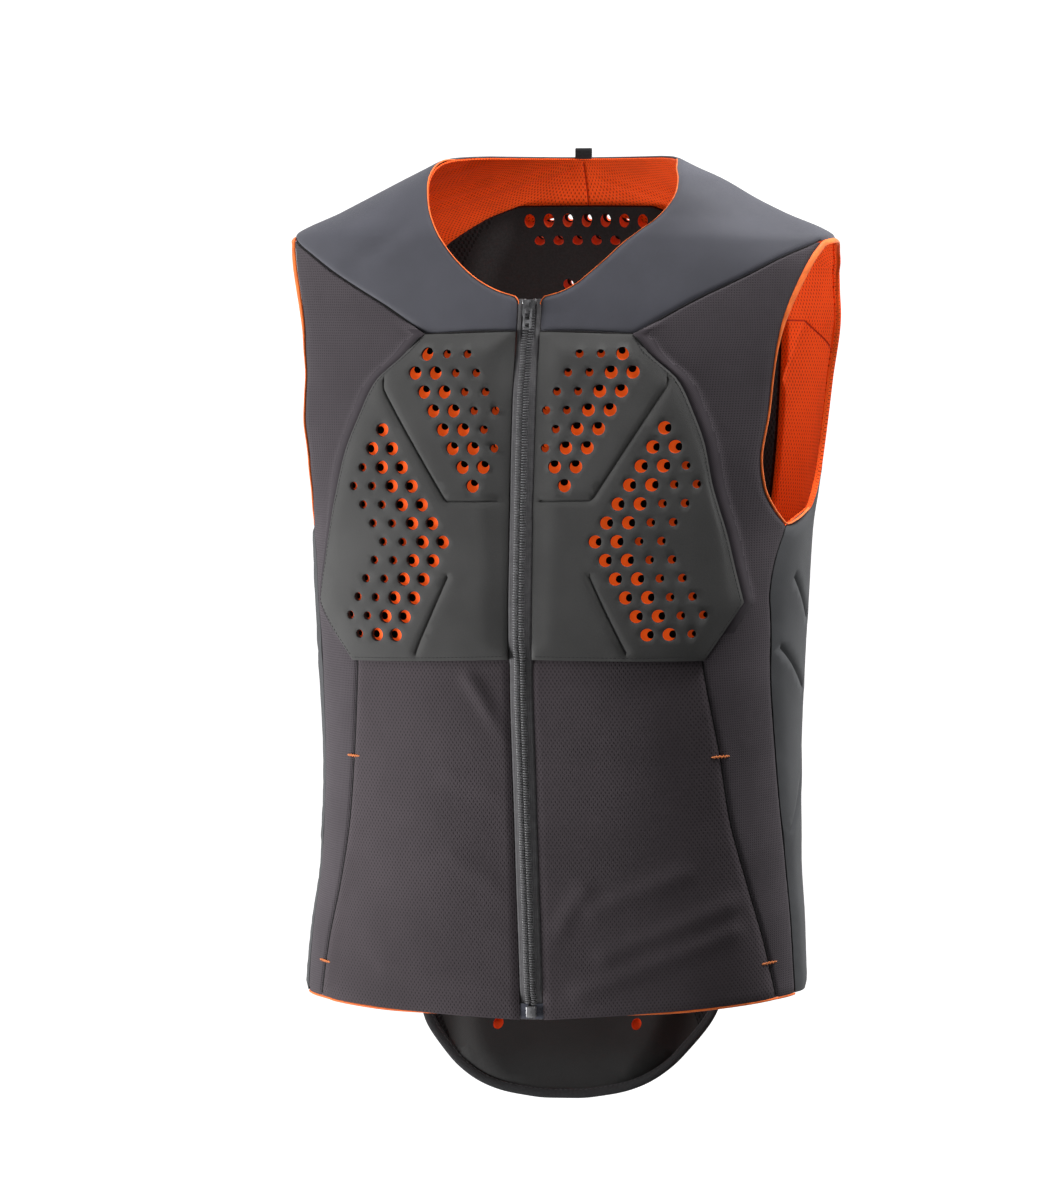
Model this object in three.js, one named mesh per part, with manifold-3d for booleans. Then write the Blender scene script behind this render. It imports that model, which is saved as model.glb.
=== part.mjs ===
// Chest and back protector vest, sleeveless, with a front zip.
// Millimetres. +Z up, the front faces -Y, the wearer's left is +X.
// The origin is the middle of the neck, level with the shoulders that carry the vest.
import * as THREE from 'three';
import { mergeVertices } from 'three/addons/utils/BufferGeometryUtils.js';
import Module from 'manifold-3d';

const wasm = await Module();
wasm.setup();

// Driving sizes
const hem = -662;
const clothThickness = 2;
const seamGap = 0.4;
const zipHalfGap = 9.6;
const padEdgeAtZip = 6;
const padEdgeAtSide = 7;
const padMiddle = 9;
const padCrownWidth = 18;
const rollHeight = 3;
const rollWidth = 17;
const backPanelThickness = 4;
const liningOuter = -0.7;
const liningInner = -2;
const protectorFace = -4;
const protectorEdge = 6;
const protectorMiddle = 13;
const pipingGap = 0.3;
const pipingWidth = 2.4;
const hemDrop = 2.6;
const bindingWidth = 8.6;
const holePitch = 16.3;
const bigHole = 10;
const backHole = 8.6;
const ventSides = 6;
const grooveWidth = 4.4;
const grooveDepth = 2;

// Level sections of the worn form, from the tail up to the neck
const formSections = [
  { z: -770, halfWidth: 205, front: 80, back: 28, square: 2.3 },
  { z: -720, halfWidth: 205, front: 82, back: 51, square: 2.3 },
  { z: -668, halfWidth: 203, front: 84, back: 78, square: 2.3 },
  { z: -610, halfWidth: 198, front: 90, back: 90, square: 2.35 },
  { z: -545, halfWidth: 190, front: 98, back: 91, square: 2.4 },
  { z: -465, halfWidth: 187.5, front: 106, back: 96, square: 2.45 },
  { z: -390, halfWidth: 189.5, front: 113, back: 103, square: 2.5 },
  { z: -345, halfWidth: 191.5, front: 113, back: 108, square: 2.55 },
  { z: -290, halfWidth: 194, front: 110, back: 114, square: 2.6 },
  { z: -235, halfWidth: 203, front: 106, back: 118, square: 2.6 },
  { z: -173, halfWidth: 213, front: 99, back: 117, square: 2.5 },
  { z: -115, halfWidth: 222, front: 90, back: 108, square: 2.4 },
  { z: -85, halfWidth: 222.5, front: 84, back: 102, square: 2.3 },
  { z: -61, halfWidth: 216, front: 78, back: 96, square: 2.2 },
  { z: -42, halfWidth: 177, front: 71, back: 88, square: 2.1 },
  { z: -18.5, halfWidth: 130, front: 63, back: 79, square: 2.05 },
  { z: 2, halfWidth: 90, front: 54, back: 68, square: 2 },
  { z: 12, halfWidth: 76, front: 46, back: 58, square: 2 },
];

// Front seams by height. around is measured on the form from the centre front.
// inner: pocket seam, then pad edge, then yoke seam. outer: side seam, then armhole.
const frontSeams = [
  { z: hem, inner: 199, outer: 221 },
  { z: -610, inner: 186, outer: 218 },
  { z: -560, inner: 171, outer: 214 },
  { z: -500, inner: 155, outer: 207 },
  { z: -440, inner: 146, outer: 202 },
  { z: -380, inner: 139.5, outer: 199 },
  { z: -337, inner: 174, outer: 200 },
  { z: -310, inner: 169, outer: 204 },
  { z: -282, inner: 163.5, outer: 213 },
  { z: -270, inner: 160.3, outer: 201 },
  { z: -250, inner: 154.6, outer: 190 },
  { z: -220, inner: 146, outer: 184.5 },
  { z: -194, inner: 134.5, outer: 186.5 },
  { z: -168, inner: 121, outer: 187.5 },
  { z: -150, inner: 100.5, outer: 188.5 },
  { z: -132, inner: 80, outer: 190.5 },
  { z: -111, inner: 118, outer: 197 },
  { z: -90, inner: 160, outer: 205.5 },
  { z: -73, inner: 193, outer: 214.5 },
  { z: -62.9, inner: 219, outer: 223.6 },
];
const padBottomRow = 5;
const armholeFootRow = 8;
const padTopRow = 15;
const padCorners = [-380, -337, -282, -220, -168, -132];
const padBottomAtZip = -377;

// The yoke, strip by strip from the zip over the shoulder to the centre back
const yokeStrips = [
  { neck: zipHalfGap, neckZ: -104, edge: zipHalfGap, edgeZ: -130 },
  { neck: 24, neckZ: -100, edge: 33, edgeZ: -130 },
  { neck: 41, neckZ: -92, edge: 57, edgeZ: -131 },
  { neck: 57, neckZ: -80, edge: 80, edgeZ: -132 },
  { neck: 68, neckZ: -69, edge: 118, edgeZ: -111 },
  { neck: 78, neckZ: -57, edge: 160, edgeZ: -90 },
  { neck: 88, neckZ: -41, edge: 193, edgeZ: -73 },
  { neck: 96, neckZ: -22, edge: 224, edgeZ: -61 },
  { neck: 104, neckZ: -7, edge: 235, edgeZ: -60 },
  { neck: 115, neckZ: 0, edge: 248, edgeZ: -59.5 },
  { neck: 128, neckZ: 2, edge: 263, edgeZ: -61 },
  { neck: 143, neckZ: 3, edge: 284, edgeZ: -68 },
  { neck: 158, neckZ: 3.5, edge: 304, edgeZ: -84 },
];
const yokeArmholeFront = 7;
const yokeLiningStart = 5;
const neckBackZ = 3;
const yokeBackZ = -36;
const backSpans = 6;

// Rear edge of the armhole, from its foot up to the yoke. Each row of the back ends at centre.
const armholeRear = [
  { z: -272, around: 264, centre: -272 },
  { z: -250, around: 289, centre: -250 },
  { z: -220, around: 302, centre: -215 },
  { z: -190, around: 307, centre: -178 },
  { z: -160, around: 310, centre: -138 },
  { z: -132, around: 311, centre: -98 },
  { z: -107, around: 310, centre: -60 },
  { z: -84, around: 304, centre: yokeBackZ },
];

// Half width of the back protector by height, from the tip of the tail up
const protectorRows = [
  { z: -746, reach: 18 },
  { z: -741, reach: 50 },
  { z: -732, reach: 73 },
  { z: -716, reach: 94 },
  { z: -680, reach: 121 },
  { z: -640, reach: 125 },
  { z: -530, reach: 124 },
  { z: -400, reach: 130 },
  { z: -260, reach: 133 },
  { z: -130, reach: 138 },
  { z: -95, reach: 126 },
  { z: -62, reach: 102 },
  { z: -46, reach: 74 },
  { z: -36, reach: 48 },
];
const bindingRows = 6;

// Rows of vents in a chest pad on a six-sided lattice: first column and big vents,
// counted outward from the zip in half pitches
const ventTop = -148;
const ventRows = [
  { row: 0, first: 9, count: 1 },
  { row: 1, first: 8, count: 2 },
  { row: 2, first: 7, count: 2 },
  { row: 3, first: 6, count: 2 },
  { row: 4, first: 5, count: 2 },
  { row: 5, first: 4, count: 2 },
  { row: 6, first: 3, count: 2 },
  { row: 7, first: 4, count: 1 },
  { row: 4, first: 13, count: 1 },
  { row: 5, first: 12, count: 2 },
  { row: 6, first: 11, count: 2 },
  { row: 7, first: 10, count: 2 },
  { row: 8, first: 9, count: 2 },
  { row: 9, first: 8, count: 2 },
  { row: 10, first: 7, count: 2 },
  { row: 11, first: 8, count: 2 },
  { row: 12, first: 9, count: 2 },
  { row: 13, first: 10, count: 2 },
  { row: 14, first: 11, count: 2 },
  { row: 15, first: 12, count: 2 },
];

// Vents through the back, in rows either side of the centre back
const backVentRows = [
  { z: -46, across: [0, 16, 32, 48] },
  { z: -60, across: [8, 24, 40] },
  { z: -98, across: [18] },
  { z: -701, across: [59] },
];

// Pressed grooves: chest pad and side of the back panel
const chestGrooves = [
  [{ around: 111, z: -166 }, { around: 54, z: -257 }, { around: 14, z: -257 }],
  [{ around: 54, z: -315 }, { around: 82, z: -372 }],
];
const backGrooves = [
  [{ around: 226, z: -322 }, { around: 262, z: -356 }],
  [{ around: 208, z: -376 }, { around: 256, z: -412 }],
  [{ around: 258, z: -478 }, { around: 220, z: -522 }],
];

// Zip hardware
const coilHalf = { from: 0.35, to: 2.9, inner: -0.4, outer: 1.8 };
const tapeHalf = { from: 2.3, to: 13, inner: -2, outer: -0.8 };
const sliderZ = -112;
const slider = { width: 9.4, height: 12, plate: 1.2, inside: 2.4 };
const bail = { width: 2.4, reach: 4.8, bar: 1.4, clear: 2.4 };
const pullerHinge = { z: -1.8, out: 4.8 };
const puller = { bar: 1.4, thickness: 1.2, window: 7.1, inside: 3.6, leg: 1.6, length: 15.5, eye: 3.4 };
const box = { width: 8, height: 9, depth: 3.6, z: -655 };
const stop = { width: 3, height: 4, depth: 2.2, z: -107 };
const loop = { width: 13, height: 6.4, depth: 4.4, ribbon: 1.2, above: 9.9, out: 0.6 };

// The value of one column of a table at height z, on a smooth curve that never overshoots
function columnAt(rows, column, z) {
  const last = rows.length - 1;
  const slope = (i) => (rows[i + 1][column] - rows[i][column]) / (rows[i + 1].z - rows[i].z);
  const tangent = (i) => {
    if (i === 0) return slope(0);
    if (i === last) return slope(last - 1);
    const before = slope(i - 1);
    const after = slope(i);
    if (before * after <= 0) return 0;
    return (2 * before * after) / (before + after);
  };
  const height = THREE.MathUtils.clamp(z, rows[0].z, rows[last].z);
  let i = 0;
  while (i < last - 1 && rows[i + 1].z < height) i += 1;
  const step = rows[i + 1].z - rows[i].z;
  const t = (height - rows[i].z) / step;
  const start = (1 + 2 * t) * (1 - t) ** 2 * rows[i][column] + t * (1 - t) ** 2 * step * tangent(i);
  const end = t * t * (3 - 2 * t) * rows[i + 1][column] - t * t * (1 - t) * step * tangent(i + 1);
  return start + end;
}

// Half a level section of the form, from the centre front round to the centre back
const ringSteps = 180;
const rings = new Map();
function ringAt(z) {
  if (rings.has(z)) return rings.get(z);
  const halfWidth = columnAt(formSections, 'halfWidth', z);
  const front = columnAt(formSections, 'front', z);
  const back = columnAt(formSections, 'back', z);
  const power = 2 / columnAt(formSections, 'square', z);
  const points = [];
  for (let k = 0; k <= ringSteps; k += 1) {
    const turn = (Math.PI * k) / ringSteps;
    const c = Math.cos(turn);
    const x = halfWidth * Math.abs(Math.sin(turn)) ** power;
    const y = (c > 0 ? -front : back) * Math.abs(c) ** power;
    const before = points[k - 1];
    const length = before ? before.length + Math.hypot(x - before.x, y - before.y) : 0;
    points.push({ x, y, length });
  }
  rings.set(z, points);
  return points;
}

function halfRound(z) {
  return ringAt(z)[ringSteps].length;
}

// Places on the form by turn: 0 at the centre front, 1 at the side, 2 at the centre back
function turnOf({ around, z }) {
  const side = ringAt(z)[ringSteps / 2].length;
  return around < side ? around / side : 1 + (around - side) / (halfRound(z) - side);
}
function aroundOf(turn, z) {
  const side = ringAt(z)[ringSteps / 2].length;
  return turn < 1 ? turn * side : side + (turn - 1) * (halfRound(z) - side);
}
function between(from, to, share) {
  const z = THREE.MathUtils.lerp(from.z, to.z, share);
  return { around: aroundOf(THREE.MathUtils.lerp(turnOf(from), turnOf(to), share), z), z };
}

// The hem rises from the zip to the sides and falls again behind them
const hemRise = { height: 10, top: -520, back: 340 };
function hemLift(around, z) {
  const { inner, outer } = frontSeams[0];
  const front = THREE.MathUtils.clamp((around - zipHalfGap) / (inner - zipHalfGap), 0, 1);
  const back = THREE.MathUtils.clamp((around - outer) / (hemRise.back - outer), 0, 1);
  return hemRise.height * (front - back) * THREE.MathUtils.smoothstep(-z, -hemRise.top, -hem);
}

// Point of the form at a distance round from the centre front
function formPoint(around, z) {
  const points = ringAt(z);
  const whole = points[ringSteps].length;
  const past = around > whole;
  const reach = past ? 2 * whole - around : Math.abs(around);
  let k = 1;
  while (k < ringSteps && points[k].length < reach) k += 1;
  const a = points[k - 1];
  const b = points[k];
  const t = (reach - a.length) / (b.length - a.length);
  const sign = past || around < 0 ? -1 : 1;
  return new THREE.Vector3(sign * (a.x + t * (b.x - a.x)), a.y + t * (b.y - a.y), z + hemLift(reach, z));
}

// Point and outward normal of the form
function formFrame(around, z) {
  const reach = 2;
  const across = formPoint(around + reach, z).sub(formPoint(around - reach, z));
  const up = formPoint(around, z + reach).sub(formPoint(around, z - reach));
  return { point: formPoint(around, z), normal: across.cross(up).normalize() };
}

function mirroredFrame({ point, normal }) {
  return {
    point: new THREE.Vector3(-point.x, point.y, point.z),
    normal: new THREE.Vector3(-normal.x, normal.y, normal.z),
  };
}

function flipFaces(geometry) {
  const index = geometry.index.array;
  for (let k = 0; k < index.length; k += 3) {
    [index[k], index[k + 1]] = [index[k + 1], index[k]];
  }
  return geometry;
}

function volume(geometry) {
  const p = geometry.attributes.position;
  const index = geometry.index.array;
  const corner = (k) => new THREE.Vector3().fromBufferAttribute(p, index[k]);
  let sum = 0;
  for (let k = 0; k < index.length; k += 3) {
    sum += corner(k).dot(corner(k + 1).cross(corner(k + 2)));
  }
  return sum / 6;
}

// Closed wall over a grid of frames, between two distances from the form
function wall(grid, inner, outer, closed = false) {
  const rows = grid.length;
  const columns = grid[0].length;
  const at = (value, i, j) => (typeof value === 'function' ? value(i, j) : value);
  const positions = [];
  [outer, inner].forEach((distance) => {
    grid.forEach((row, i) => {
      row.forEach(({ point, normal }, j) => {
        positions.push(...point.clone().addScaledVector(normal, at(distance, i, j)).toArray());
      });
    });
  });
  const over = (i, j) => (i % rows) * columns + j;
  const under = (i, j) => rows * columns + over(i, j);
  const index = [];
  const quad = (a, b, c, d) => index.push(a, b, c, a, c, d);
  const rowSpans = closed ? rows : rows - 1;
  for (let i = 0; i < rowSpans; i += 1) {
    for (let j = 0; j < columns - 1; j += 1) {
      quad(over(i, j), over(i, j + 1), over(i + 1, j + 1), over(i + 1, j));
      quad(under(i, j), under(i + 1, j), under(i + 1, j + 1), under(i, j + 1));
    }
    quad(under(i, columns - 1), under(i + 1, columns - 1), over(i + 1, columns - 1), over(i, columns - 1));
    quad(under(i + 1, 0), under(i, 0), over(i, 0), over(i + 1, 0));
  }
  if (!closed) {
    for (let j = 0; j < columns - 1; j += 1) {
      quad(under(0, j), under(0, j + 1), over(0, j + 1), over(0, j));
      quad(under(rows - 1, j + 1), under(rows - 1, j), over(rows - 1, j), over(rows - 1, j + 1));
    }
  }
  const geometry = new THREE.BufferGeometry();
  geometry.setAttribute('position', new THREE.Float32BufferAttribute(positions, 3));
  geometry.setIndex(index);
  return volume(geometry) < 0 ? flipFaces(geometry) : geometry;
}

function mirrored(geometry) {
  return flipFaces(geometry.clone().scale(-1, 1, 1));
}

// Solids for cutting and joining
function toSolid(geometry) {
  const bare = new THREE.BufferGeometry();
  bare.setAttribute('position', geometry.attributes.position.clone());
  bare.setIndex(geometry.index);
  const merged = mergeVertices(bare);
  return new wasm.Manifold(new wasm.Mesh({
    numProp: 3,
    vertProperties: new Float32Array(merged.attributes.position.array),
    triVerts: new Uint32Array(merged.index.array),
  }));
}

function toGeometry(solid) {
  const mesh = solid.getMesh();
  const geometry = new THREE.BufferGeometry();
  geometry.setAttribute('position', new THREE.BufferAttribute(mesh.vertProperties, 3));
  geometry.setIndex(new THREE.BufferAttribute(mesh.triVerts, 1));
  return geometry;
}

function cut(geometry, cutters) {
  let solid = toSolid(geometry);
  cutters.forEach((cutter) => {
    solid = solid.subtract(toSolid(cutter));
  });
  return toGeometry(solid);
}

function joined(geometries) {
  return toGeometry(geometries.map(toSolid).reduce((all, solid) => all.add(solid)));
}

// Round cutter through the wall at one place of the form
function ventCutter({ point, normal }, diameter, sides, inner, outer) {
  const middle = (inner + outer) / 2;
  const turn = new THREE.Quaternion().setFromUnitVectors(new THREE.Vector3(0, 1, 0), normal);
  const geometry = new THREE.CylinderGeometry(diameter / 2, diameter / 2, outer - inner, sides);
  geometry.applyQuaternion(turn);
  return geometry.translate(...point.clone().addScaledVector(normal, middle).toArray());
}

// Cutter with a V section that follows a line on the form
function grooveCutter(line, surface) {
  const stepLength = 30;
  const places = [];
  line.slice(1).forEach((end, k) => {
    const start = line[k];
    const steps = Math.ceil(Math.hypot(end.around - start.around, end.z - start.z) / stepLength);
    for (let n = k ? 1 : 0; n <= steps; n += 1) {
      const t = n / steps;
      places.push({
        around: THREE.MathUtils.lerp(start.around, end.around, t),
        z: THREE.MathUtils.lerp(start.z, end.z, t),
      });
    }
  });
  const grid = places.map((place, n) => {
    const from = places[Math.max(n - 1, 0)];
    const to = places[Math.min(n + 1, places.length - 1)];
    const length = Math.hypot(to.around - from.around, to.z - from.z);
    const side = { around: -(to.z - from.z) / length, z: (to.around - from.around) / length };
    return [-1, 0, 1].map((across) => formFrame(
      place.around + (across * side.around * grooveWidth) / 2,
      place.z + (across * side.z * grooveWidth) / 2,
    ));
  });
  const above = 4;
  const bottom = (i, j) => surface + (j === 1 ? -grooveDepth : 0.4);
  return wall(grid, bottom, surface + above);
}

// Grid of frames between two edges, each row from its first point to its second
function gridBetween(edgePairs, shares) {
  return edgePairs.map(([from, to]) => shares.map((share) => {
    const { around, z } = between(from, to, share);
    return formFrame(around, z);
  }));
}

// The same grid drawn in from its neighbours by half a seam gap
function drawnIn(edgePairs) {
  const half = seamGap / 2;
  const lastRow = edgePairs.length - 1;
  return edgePairs.map(([from, to], i) => {
    const rise = (i === 0 ? half : 0) - (i === lastRow ? half : 0);
    const way = Math.sign(to.around - from.around);
    return [
      { around: from.around + way * half, z: from.z + rise },
      { around: to.around - way * half, z: to.z + rise },
    ];
  });
}

// Frames just outside an edge, for a strip that follows it. away says which side.
function stripAlong(edge, away, from, to, closed = false) {
  const frames = edge.map(({ around, z }) => formFrame(around, z));
  const count = frames.length;
  return frames.map(({ point, normal }, i) => {
    const before = frames[closed ? (i + count - 1) % count : Math.max(i - 1, 0)].point;
    const after = frames[closed ? (i + 1) % count : Math.min(i + 1, count - 1)].point;
    const sideways = after.clone().sub(before).cross(normal).normalize().multiplyScalar(away);
    return [from, to].map((distance) => ({
      point: point.clone().addScaledVector(sideways, distance),
      normal,
    }));
  });
}

const evenShares = (count) => Array.from({ length: count + 1 }, (_, k) => k / count);
const innerEdge = ({ inner, z }) => ({ around: inner, z });
const outerEdge = ({ outer, z }) => ({ around: outer, z });

// Colours and finishes
const finishes = {
  yoke: { color: 0x53535b, roughness: 0.75 },
  pad: { color: 0x484a47, roughness: 0.85 },
  mesh: { color: 0x484246, roughness: 0.9 },
  knit: { color: 0x463f43, roughness: 0.95 },
  back: { color: 0x464749, roughness: 0.85 },
  black: { color: 0x222222, roughness: 0.9 },
  orange: { color: 0xf05519, roughness: 0.8 },
  tape: { color: 0x4b4b4d, roughness: 0.85 },
  metal: { color: 0x3a3a3e, roughness: 0.4, metalness: 0.8 },
};

const vest = new THREE.Group();
function addPiece(name, geometry, finish, parent = vest) {
  const material = new THREE.MeshStandardMaterial(finishes[finish]);
  const mesh = new THREE.Mesh(geometry, material);
  mesh.name = name;
  parent.add(mesh);
}

function addPair(name, geometry, finish) {
  addPiece(`${name}_left`, geometry, finish);
  addPiece(`${name}_right`, mirrored(geometry), finish);
}

// Yoke over each shoulder. Behind the armhole its strips run on to the centre back.
const backEdge = armholeRear[armholeRear.length - 1];
const frontStrips = yokeStrips.map(({ neck, neckZ, edge, edgeZ }) => [
  { around: neck, z: neckZ },
  { around: edge, z: edgeZ },
]);
const [lastNeck] = frontStrips[frontStrips.length - 1];
const backStrips = evenShares(backSpans).slice(1).map((share) => [
  between(lastNeck, { around: halfRound(neckBackZ), z: neckBackZ }, share),
  between(backEdge, { around: halfRound(yokeBackZ), z: yokeBackZ }, share),
]);
const yokePairs = [...frontStrips, ...backStrips];
const yokeGrid = gridBetween(yokePairs, evenShares(4)).map((row) => row.map(({ point, normal }, j) => {
  const half = seamGap / 2;
  const atEdge = j === row.length - 1;
  const moved = point.clone();
  if (atEdge) moved.add(row[j - 1].point.clone().sub(point).setLength(half));
  moved.x = Math.max(moved.x, half);
  return { point: moved, normal };
}));
addPair('yoke', wall(yokeGrid, 0, clothThickness), 'yoke');

// Orange lining of the yoke, in two halves that meet at the centre back
addPair('yoke_lining', wall(yokeGrid.slice(yokeLiningStart), liningInner, liningOuter), 'orange');

// Side panel, with a roll of cloth round the pad
const sidePairs = frontSeams.map((row) => [innerEdge(row), outerEdge(row)]);
const sideShares = [0, 0.3, 0.65, 1];
function rollAt(i, j) {
  const { inner, outer } = frontSeams[i];
  const besidePad = i > padBottomRow && i <= padTopRow;
  const distance = (outer - inner) * sideShares[j];
  const fall = THREE.MathUtils.smoothstep(distance, 0, rollWidth);
  return besidePad ? rollHeight * (1 - fall) : 0;
}
const sideGrid = gridBetween(drawnIn(sidePairs), sideShares);
addPair('side_panel', wall(sideGrid, rollAt, (i, j) => rollAt(i, j) + clothThickness), 'mesh');

// Lower front panel, from the zip to the pocket seam
const frontPairs = frontSeams.slice(0, padBottomRow + 1).map((row, i) => [
  { around: zipHalfGap, z: i === padBottomRow ? padBottomAtZip : row.z },
  innerEdge(row),
]);
addPair('front_panel', wall(gridBetween(drawnIn(frontPairs), evenShares(5)), 0, clothThickness), 'knit');

// Chest pad: thick in the middle, thin at its edges, vented and grooved
const padSeams = frontSeams.filter(({ z }) => padCorners.includes(z));
const padPairs = padSeams.map((row, i) => {
  const first = i === 0 ? padBottomAtZip : row.z;
  const last = i === padSeams.length - 1 ? yokeStrips[0].edgeZ : first;
  return [{ around: zipHalfGap, z: last }, innerEdge(row)];
});
const padShares = [0, 0.1, 0.5, 0.9, 1];
function padOuter(i, j) {
  const [from, to] = padPairs[i];
  const width = to.around - from.around;
  const share = padShares[j];
  const z = THREE.MathUtils.lerp(from.z, to.z, share);
  const nearest = Math.min(share * width, (1 - share) * width,
    z - padBottomAtZip, padPairs[padPairs.length - 1][0].z - z);
  const edge = THREE.MathUtils.lerp(padEdgeAtZip, padEdgeAtSide, share);
  return THREE.MathUtils.lerp(edge, padMiddle, THREE.MathUtils.smoothstep(nearest, 0, padCrownWidth));
}
const rowPitch = holePitch * Math.sin(Math.PI / 3);
const chestVents = ventRows.flatMap(({ row, first, count }) => evenShares(count).slice(0, count)
  .map((_, k) => formFrame(((first + 2 * k) * holePitch) / 2, ventTop - row * rowPitch)));
const padCutters = [
  ...chestVents.map((frame) => ventCutter(frame, bigHole, ventSides, -4, padMiddle + 6)),
  ...chestGrooves.map((line) => grooveCutter(line, padMiddle)),
];
const pad = cut(wall(gridBetween(drawnIn(padPairs), padShares), 0, padOuter), padCutters);
addPair('chest_pad', pad, 'pad');

// Moulded back panel, from side seam to side seam
const backSides = [
  ...frontSeams.slice(0, armholeFootRow + 1).map((row) => ({ ...outerEdge(row), centre: row.z })),
  ...armholeRear,
];
const backHalf = backSides.map((side, i) => {
  const half = seamGap / 2;
  const lift = (i === 0 ? half : 0) - (i === backSides.length - 1 ? half : 0);
  const from = { around: side.around + half, z: side.z + lift };
  const to = { around: halfRound(side.centre), z: side.centre + lift };
  return gridBetween([[from, to]], evenShares(backSpans))[0];
});
const wholeRow = (row) => [...row, ...row.slice(0, -1).reverse().map(mirroredFrame)];
const backGrid = backHalf.map(wholeRow);
const backVents = backVentRows.flatMap(({ z, across }) => across.flatMap((reach) => {
  const frame = formFrame(halfRound(z) - reach, z);
  return reach ? [frame, mirroredFrame(frame)] : [frame];
}));
const throughBack = backVents.map((frame) => ventCutter(frame, backHole, ventSides, -30, 14));
const sideGrooves = backGrooves.map((line) => grooveCutter(line, backPanelThickness));
const backPanel = cut(wall(backGrid, 0, backPanelThickness), [
  ...sideGrooves,
  ...sideGrooves.map(mirrored),
  ...throughBack,
]);
addPiece('back_panel', backPanel, 'back');

// Orange lining inside the back, beside the protector
const liningColumns = 4;
const leftLining = backGrid.map((row) => row.slice(0, liningColumns));
const rightLining = backGrid.map((row) => row.slice(-liningColumns));
addPiece('back_lining_left', wall(leftLining, liningInner, liningOuter), 'orange');
addPiece('back_lining_right', wall(rightLining, liningInner, liningOuter), 'orange');

// Back protector with its tail, and the binding round the tail
const protectorShares = [0, 0.1, 0.4, 0.7, 1];
const protectorHalf = protectorRows.map(({ z, reach }) => protectorShares.map((share) => (
  formFrame(halfRound(z) - reach * (1 - share), z))));
const protectorDepth = (i, j) => {
  const column = Math.min(j, 2 * (protectorShares.length - 1) - j);
  const ends = i === 0 || i === protectorRows.length - 1;
  const thickness = ends || column === 0 ? protectorEdge : protectorMiddle;
  return protectorFace - thickness;
};
const protector = cut(wall(protectorHalf.map(wholeRow), protectorDepth, protectorFace), throughBack);
addPiece('back_protector', protector, 'black');
const tailEdge = protectorRows.slice(0, bindingRows).map(({ z, reach }) => ({ around: halfRound(z) - reach, z }));
const tailStrip = stripAlong(tailEdge, -1, pipingGap, bindingWidth);
const bindingGrid = [...tailStrip.slice().reverse(), ...tailStrip.map((row) => row.map(mirroredFrame))];
addPiece('tail_binding', wall(bindingGrid, protectorFace - protectorEdge, protectorFace), 'black');

// Orange piping round the neck and the armholes, and the hem's edge
const pipingInner = -0.5;
const pipingOuter = 2.1;
const neckEdge = yokePairs.map(([neck]) => neck);
addPair('neck_piping', wall(
  stripAlong(neckEdge, -1, pipingGap, pipingWidth).map((row, i) => row.map(({ point, normal }) => {
    const atBack = i === neckEdge.length - 1;
    const x = atBack ? seamGap / 2 : point.x;
    return { point: new THREE.Vector3(x, point.y, point.z), normal };
  })),
  pipingInner, pipingOuter), 'orange');
const armholeEdge = [
  ...frontSeams.slice(armholeFootRow).map(outerEdge),
  ...frontStrips.slice(yokeArmholeFront, -1).map(([, edge]) => edge),
  ...armholeRear.slice().reverse(),
];
addPair('armhole_piping', wall(stripAlong(armholeEdge, 1, pipingGap, pipingWidth, true),
  pipingInner, pipingOuter, true), 'orange');
const hemStart = 28;
const hemShares = evenShares(7);
const hemEdge = hemShares.map((share) => ({
  around: THREE.MathUtils.lerp(hemStart, frontSeams[0].outer, share),
  z: hem,
}));
addPair('hem_edge', wall(stripAlong(hemEdge, 1, pipingGap, hemDrop), -0.4, 1.4), 'orange');

// Zip: tapes under the panels, coils between them, stops and box at the ends
const zipLevels = [...frontSeams.slice(0, padTopRow + 1).map(({ z }) => z), yokeStrips[0].neckZ - 1];
const zipGrid = (levels, { from, to }) => gridBetween(
  levels.map((z) => [{ around: from, z }, { around: to, z }]), [0, 1]);
addPair('zip_tape', wall(zipGrid(zipLevels, tapeHalf), tapeHalf.inner, tapeHalf.outer), 'tape');
const coilTop = sliderZ + 2;
const coilBottom = box.z + box.height / 2 + 1;
const coilLevels = [coilBottom, ...zipLevels.slice(1, -1), coilTop];
addPair('zip_coil', wall(zipGrid(coilLevels, coilHalf), coilHalf.inner, coilHalf.outer), 'tape');

// A group that stands on the zip line at one height, local Z along the zip, local -Y outward
function onZip(z) {
  const { point, normal } = formFrame(0, z);
  const group = new THREE.Group();
  group.position.copy(point);
  group.rotation.x = Math.asin(-normal.z);
  vest.add(group);
  return group;
}
function block(width, inner, outer, low, high, x = 0) {
  const geometry = new THREE.BoxGeometry(width, outer - inner, high - low);
  return geometry.translate(x, -(inner + outer) / 2, (low + high) / 2);
}
const boxGroup = onZip(box.z);
const boxHalf = box.height / 2;
addPiece('zip_box', block(box.width, tapeHalf.outer + 0.3, box.depth, -boxHalf, boxHalf), 'metal', boxGroup);
const stopGroup = onZip(stop.z);
[{ name: 'zip_stop_left', x: 4.2 }, { name: 'zip_stop_right', x: -4.2 }].forEach(({ name, x }) => {
  const geometry = block(stop.width, tapeHalf.outer + 0.3, stop.depth, -stop.height / 2, stop.height / 2, x);
  addPiece(name, geometry, 'metal', stopGroup);
});

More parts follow.
